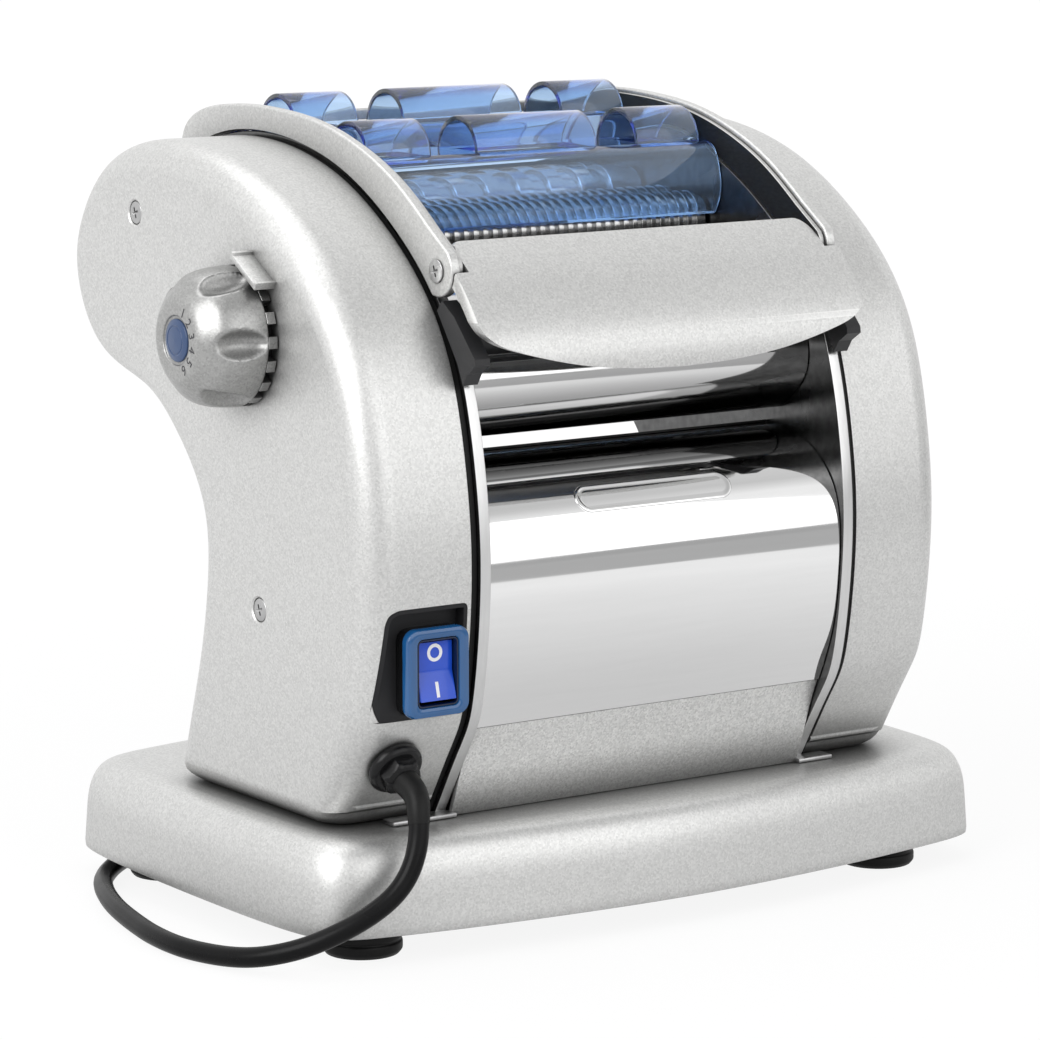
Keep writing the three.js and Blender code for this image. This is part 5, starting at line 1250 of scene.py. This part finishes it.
for side, name in sides_named:
    low, high = sorted((side * arm_inner, side * arm_outer))
    arm = arm_band(f"hood_arm_{name}", low, high, 0, 0.9, silver_paint)
    refinish(arm, silver_paint, 30)
    even_light(arm)
    fit(arm, "hood", "silver_paint", "hood_frame")
    low, high = sorted((side * 78, side * 79.9))
    liner = arm_band(f"hood_liner_{name}", low, high, 1.6, 0.3, dark_plastic)
    carve(liner, "DIFFERENCE", box_tool((-90, 87, 0), (90, 210, over_all)))
    refinish(liner, liner_paint, 30)
    fit(liner, "hood", "dark_plastic", f"{name}_hood_liner")
    screw = cross_screw(f"hood_pivot_screw_{name}", (side * 85, *hood_pivot), (side, 0, 0), 14)
    fit(screw, "hood", "satin_steel", f"{name}_hood_screw")
bar_shares = [(0.424, 0.982), (0.462, 0.962), (0.476, 0.988), (0.455, 1.008), (0.424, 1.022)]
bar_line = rounded_outline([side_point(s) for s in bar_shares], 1.5)
hood_bar = slab("hood_bar", bar_line, -arm_inner, arm_inner, edge=0.2, material=silver_paint)
fit(hood_bar, "hood", "silver_paint")

# ------------------------------------------------------------------ guard
# One clear blue moulding between the arms. Two rows of half-round humps let the dough in over the
# rolls and keep fingers out.
hump_radius, hump_half, guard_wall = 13.5, 73.4, 2
hump_shares = [(-1, -0.6335), (-0.361, 0.361), (0.613, 1)]
hump_spans = [(low * hump_half, high * hump_half) for low, high in hump_shares]
guard_shares = [
    (-0.081, 0.8635), (-0.093, 0.881), (-0.1, 0.9065), (-0.095, 0.9365), (-0.081, 0.9665), (-0.058, 0.979),
]
front_deck = [side_point((-0.058, 0.979)), side_point((0.074, 0.981))]
rear_deck = [side_point((0.171, 1.0095)), side_point((0.305, 1.0115))]
guard_tail = side_point((0.4225, 0.988))
guard_line = side_curve(guard_shares, 40) + [front_deck[1], *rear_deck, guard_tail]
guard = bent_sheet("clear_guard", guard_line, guard_wall, cover_half, None, 0.3)
humps = [((a + b) / 2, span) for a, b in (front_deck, rear_deck) for span in hump_spans]
slot_margin = 2.5
slot_reach = hump_radius - slot_margin
carve(guard, "DIFFERENCE", *[
    box_tool(
        (low + slot_margin, row.x - slot_reach, row.y - hump_radius),
        (high - slot_margin, row.x + slot_reach, row.y + 0.1),
    ) for row, (low, high) in humps
])


def hump_tool(row, span):
    seat = (row.x, row.y - guard_wall / 2)
    over, under = arc(seat, hump_radius, pi, 0, 32), arc(seat, hump_radius - guard_wall, 0, pi, 32)
    return slab("tool", over + under, *span, edge=0.35, steps=2)


carve(guard, "UNION", *[hump_tool(row, span) for row, span in humps])

# Clear blue plastic: the deeper blue of its rims comes from looking along the sheet.
clear_blue, blue_tree, blue = blank_material("clear_blue")
mould_flow, flow_place, flow_in, flow_out = effect("mould_flow", [("Scale", "Float", 14.0)], ["Flow"])
flow_noise = node(mould_flow, "TexNoise", {"Vector": flow_place, "Scale": flow_in["Scale"], "Detail": 2.0})
deliver(mould_flow, flow_out, flow_noise.outputs[0])
guard_flow = placed(blue_tree, mould_flow)["Flow"]
guard_face = blended(blue_tree, guard_flow, (0.74, 0.89, 1.0, 1), (0.8, 0.92, 1.0, 1))
guard_slant = node(blue_tree, "LayerWeight", {"Blend": 0.5}).outputs["Facing"]
guard_rim = spread_over(blue_tree, guard_slant, 0.5, 0.85)
guard_colour = blended(blue_tree, guard_rim, guard_face, (0.02, 0.12, 0.6, 1))
blue_tree.links.new(guard_colour, blue.inputs["Base Color"])
for socket, value in (("Roughness", 0.03), ("IOR", 1.2), ("Coat Weight", 1.0), ("Coat Roughness", 0.03),
                      ("Transmission Weight", 0.95)):
    blue.inputs[socket].default_value = value
absorb = node(blue_tree, "VolumeAbsorption", {"Color": (0.08, 0.42, 0.86, 1), "Density": 190.0})
blue_tree.links.new(absorb.outputs[0], blue_tree.nodes["Material Output"].inputs["Volume"])
refinish(guard, clear_blue, 35)
fit(guard, "hood", "clear_blue", "guard")

# ------------------------------------------------------------------ thickness knob
# A moulded knob in silver paint with six finger scallops and a castellated skirt that locks on its
# index, a blue cap in its face and the settings 1 to 6 printed beside it.
knob_paint = painted("knob_paint", 0.33, 0.47, 0.34, 0.8)
knob_start = -face - 0.5
knob_face = knob_start - 26.5
knob_profile = rounded_profile([
    (0.9, 0), (0.9, 8.6), (0.0, 9.0), (0.0, 13.6), (1.2, 15.9), (6.6, 22.4), (13, 24.4), (20.5, 25.0),
    (23.3, 25.0), (23.3, 0),
], 3.0, 8)
scallops, scallop_along, scallop_reach = 6, 0.39 * 26.5, 25 * 1.06
scallop_long, scallop_deep, scallop_wide, scallop_blend = 12.65, 7.5, 6.05, 1.6


def profile_spread(profile, spacing):
    line = [Vector(profile[0])]
    for a, b in zip(profile, profile[1:]):
        a, b = Vector(a), Vector(b)
        count = max(1, int((b - a).length / spacing))
        line += [a.lerp(b, (i + 1) / count) for i in range(count)]
    return line


def on_axle(x, angle, radius):
    """A point round the knob's axle."""
    return Vector((x, adjuster[0] + radius * cos(angle), adjuster[1] + radius * sin(angle)))


def scalloped(x, angle, radius):
    """A radius of the knob, less where a finger scallop cuts into it, with a soft edge."""
    for i in range(scallops):
        off = angle - i / scallops * 2 * pi
        room = 1 - ((x - scallop_along) / scallop_long) ** 2 - (scallop_reach * sin(off) / scallop_wide) ** 2
        if room > 0 and cos(off) > 0.5:
            near = scallop_reach * cos(off) - scallop_deep * room**0.5
            share = max(scallop_blend - abs(radius - near), 0) / scallop_blend
            radius = min(radius, near) - share * share * scallop_blend / 4
    return radius


knob_turns = [2 * pi * k / 240 for k in range(240)]
knob = piece("knob_body", *bridged([
    [on_axle(knob_face + p.x, angle, scalloped(p.x, angle, p.y)) for angle in knob_turns]
    for p in profile_spread(knob_profile, 0.5)
]), knob_paint, 60)
fit(knob, "knob", "silver_paint", "knob")

skirt_core = rod_tool(knob_start - 3.4, knob_start - 0.1, 21, adjuster, 72)
skirt_core.name = "knob_skirt_core"
skirt_core.data.materials.append(black_rubber)
fit(skirt_core, "knob", "black_plastic")
skirt_teeth = 18
tooth = [
    (-0.27, 20.2), (-0.25, 23), (-0.25, 24.7), (-0.24, 25), (0.24, 25), (0.25, 24.7), (0.25, 23), (0.27, 20.2),
]
skirt_outline = [
    on_axle(0, (i + share) / skirt_teeth * 2 * pi, radius).yz
    for i in range(skirt_teeth) for share, radius in tooth
]
skirt = slab("knob_skirt", skirt_outline, knob_start - 3.5, knob_start, edge=0.15, steps=1, material=knob_paint)
fit(skirt, "knob", "silver_paint")

blue_lens = moulded("blue_lens", (0.02, 0.05, 0.13), (0.035, 0.075, 0.18), 0.3, 300.0, 0.02, 0.2)
cap_profile = rounded_profile([
    (1.7, 0), (1.7, 7.6), (0.3, 7.6), (-0.3, 5.4), (0.0, 5.0), (-0.35, 4.6), (-0.55, 0),
], 0.4, 3)
cap = turned(cap_profile, (knob_face, *adjuster), (1, 0, 0), 72, blue_lens, "knob_lens")
fit(cap, "knob", "cap_blue", "knob_cap")

dial_ink = moulded("dial_ink", (0.03, 0.03, 0.035), (0.06, 0.06, 0.065), 0.5)
first_lean, lean_step, number_reach, number_size = 62, 24.5, 11.2, 5.2
for number in range(1, 7):
    lean = radians(first_lean - lean_step * (number - 1))
    letter = bpy.data.curves.new(f"setting_{number}", "FONT")
    letter.body = str(number)
    letter.size = number_size * mm
    letter.align_x = letter.align_y = "CENTER"
    letter.extrude = 0.05 * mm
    letter.materials.append(dial_ink)
    printed = bpy.data.objects.new(f"setting_{number}", letter)
    scene.collection.objects.link(printed)
    outward, normal = Vector((0, -cos(lean), sin(lean))), Vector((-1, 0, 0))
    turn = Matrix((outward.cross(normal), outward, normal)).transposed().to_4x4()
    spot = Vector((knob_face - 0.02, *adjuster)) + outward * number_reach
    printed.matrix_world = Matrix.Translation(at(spot)) @ turn
    fit(printed, "knob", "black_plastic")

# ------------------------------------------------------------------ switch
# A rocker switch with a glossy blue rocker marked O and I, under a splash boot of clear blue
# silicone, on a black body in the recess of the left casing.
# The bezel is a dark frame with a slightly proud lip; its near-black walls and floor are partly its own colour
# and partly painted shade of the recess.
bezel_black_and_shade = moulded("bezel_black_and_shade", (0.012, 0.012, 0.013), (0.02, 0.02, 0.022), 0.5, gloss=0.25)
bezel_line, bezel_inner = inset(recess_line, 0.15), inset(recess_line, 1.5)
bezel_hole = centred_box(20.8, 27.8, 4.5)
bezel = front_body((bezel_line, well_ahead), (bezel_line, recess_floor - 0.15), name="switch_bezel")
carve(bezel, "INTERSECT", full_casing(-1))
carve(
    bezel, "DIFFERENCE", front_body((bezel_inner, well_ahead), (bezel_inner, recess_floor - 1.4)),
    front_body((bezel_hole, recess_floor - 6), (bezel_hole, recess_floor + 4.6)),
)
refinish(bezel, bezel_black_and_shade, 35)
fit(bezel, "machine", "dark_plastic")


def front_ring(name, rows, material):
    """A ring round the switch through front outlines, each at its depth behind the boot's face."""
    return piece(name, *looped([front_loop(line, boot_front + depth) for line, depth in rows]), material)


boot_front, boot_depth = -97, 3.4
boot_line = centred_box(25.6, 31.2, 4.5, 8)
window_line = centred_box(16.8, 23.9, 2, 8)
boot_blue = moulded("boot_blue", (0.008, 0.07, 0.21), (0.016, 0.115, 0.31), 0.12, 300.0, 0.02, 0.6)
boot = front_ring("switch_splash_boot", [
    (window_line, boot_depth), (window_line, 1.0), (inset(window_line, -0.3), 0.3),
    (inset(window_line, -1.0), 0), (inset(boot_line, 1.2), 0), (inset(boot_line, 0.4), 0.3),
    (boot_line, 1.1), (boot_line, boot_depth),
], boot_blue)
fit(boot, "machine", "boot_blue", "switch_boot")
dress(black_plastic, "switch_body")
frame_navy = moulded("frame_navy", (0.002, 0.008, 0.03), (0.004, 0.014, 0.05), 0.2, 300.0, 0.02)
switch_rim = front_ring("switch_rim", [
    (inset(window_line, pulled), depth) for pulled, depth in
    ((-0.1, 0.9), (0.15, 0.6), (0.6, 0.6), (0.75, 0.9), (0.75, boot_depth), (-0.1, boot_depth))
], frame_navy)
fit(switch_rim, "machine", "dark_plastic")

rocker_blue = moulded("rocker_blue", (0.006, 0.05, 0.5), (0.012, 0.1, 0.68), 0.22, 200.0, 0.01, 0.3)
rocker_pivot = Vector((-92.9, switch_middle.y))
rocker_lean, rocker_dip, rocker_deep = radians(8), 1.3, 2.5
rocker_half_width, rocker_half_height = 7.4, 10.15


def rocker_spot(x, y, z):
    """A point of the rocker, leant over as it stands when switched off."""
    turned_y = y * cos(-rocker_lean) - z * sin(-rocker_lean)
    turned_z = y * sin(-rocker_lean) + z * cos(-rocker_lean)
    return Vector((switch_middle.x + x, rocker_pivot.x + turned_y, rocker_pivot.y + turned_z))


def rocker_face(z):
    return -rocker_deep + rocker_dip * (1 - abs(z) / rocker_half_height) ** 1.3


def rocker_loop(outline, x):
    return [rocker_spot(x, p.x, p.y) for p in outline]


rocker_heights = [rocker_half_height * (1 - i / 12) for i in range(25)]
rocker_outline = [Vector((rocker_deep, -rocker_half_height)), Vector((rocker_deep, rocker_half_height))]
rocker_outline += [Vector((rocker_face(z), z)) for z in rocker_heights]
rocker = slab(
    "rocker_cap", rocker_outline, -rocker_half_width, rocker_half_width, rocker_loop, 0.5, 3, rocker_blue, 30,
)
fit(rocker, "rocker", "switch_blue", "switch_rocker")

# The marks O and I are printed shapes that follow the rocker's face.
mark_white = moulded("mark_white", (0.82, 0.83, 0.85), (0.9, 0.9, 0.92), 0.4)
mark_under, mark_over, mark_middle = 0.05, -0.08, 6.4
ring_rows = [(mark_under, 1.9), (mark_over, 1.9), (mark_over, 3.1), (mark_under, 3.1)]
ring_turns = [2 * pi * k / 48 for k in range(48)]


def on_rocker(x, z, depth):
    return rocker_spot(x, rocker_face(z) + depth, z)


mark_off = piece("mark_off", *looped([
    [on_rocker(radius * cos(a), mark_middle + radius * sin(a), depth) for a in ring_turns]
    for depth, radius in ring_rows
]), mark_white)
fit(mark_off, "rocker", "switch_blue")
bar_half = 0.62
bar_rows = [(-bar_half, mark_under), (-bar_half, mark_over), (bar_half, mark_over), (bar_half, mark_under)]
mark_on = piece("mark_on", *bridged([
    [on_rocker(x, z, depth) for x, depth in bar_rows] for z in [-9.1 + i * 0.6 for i in range(10)]
]), mark_white)
fit(mark_on, "rocker", "switch_blue")
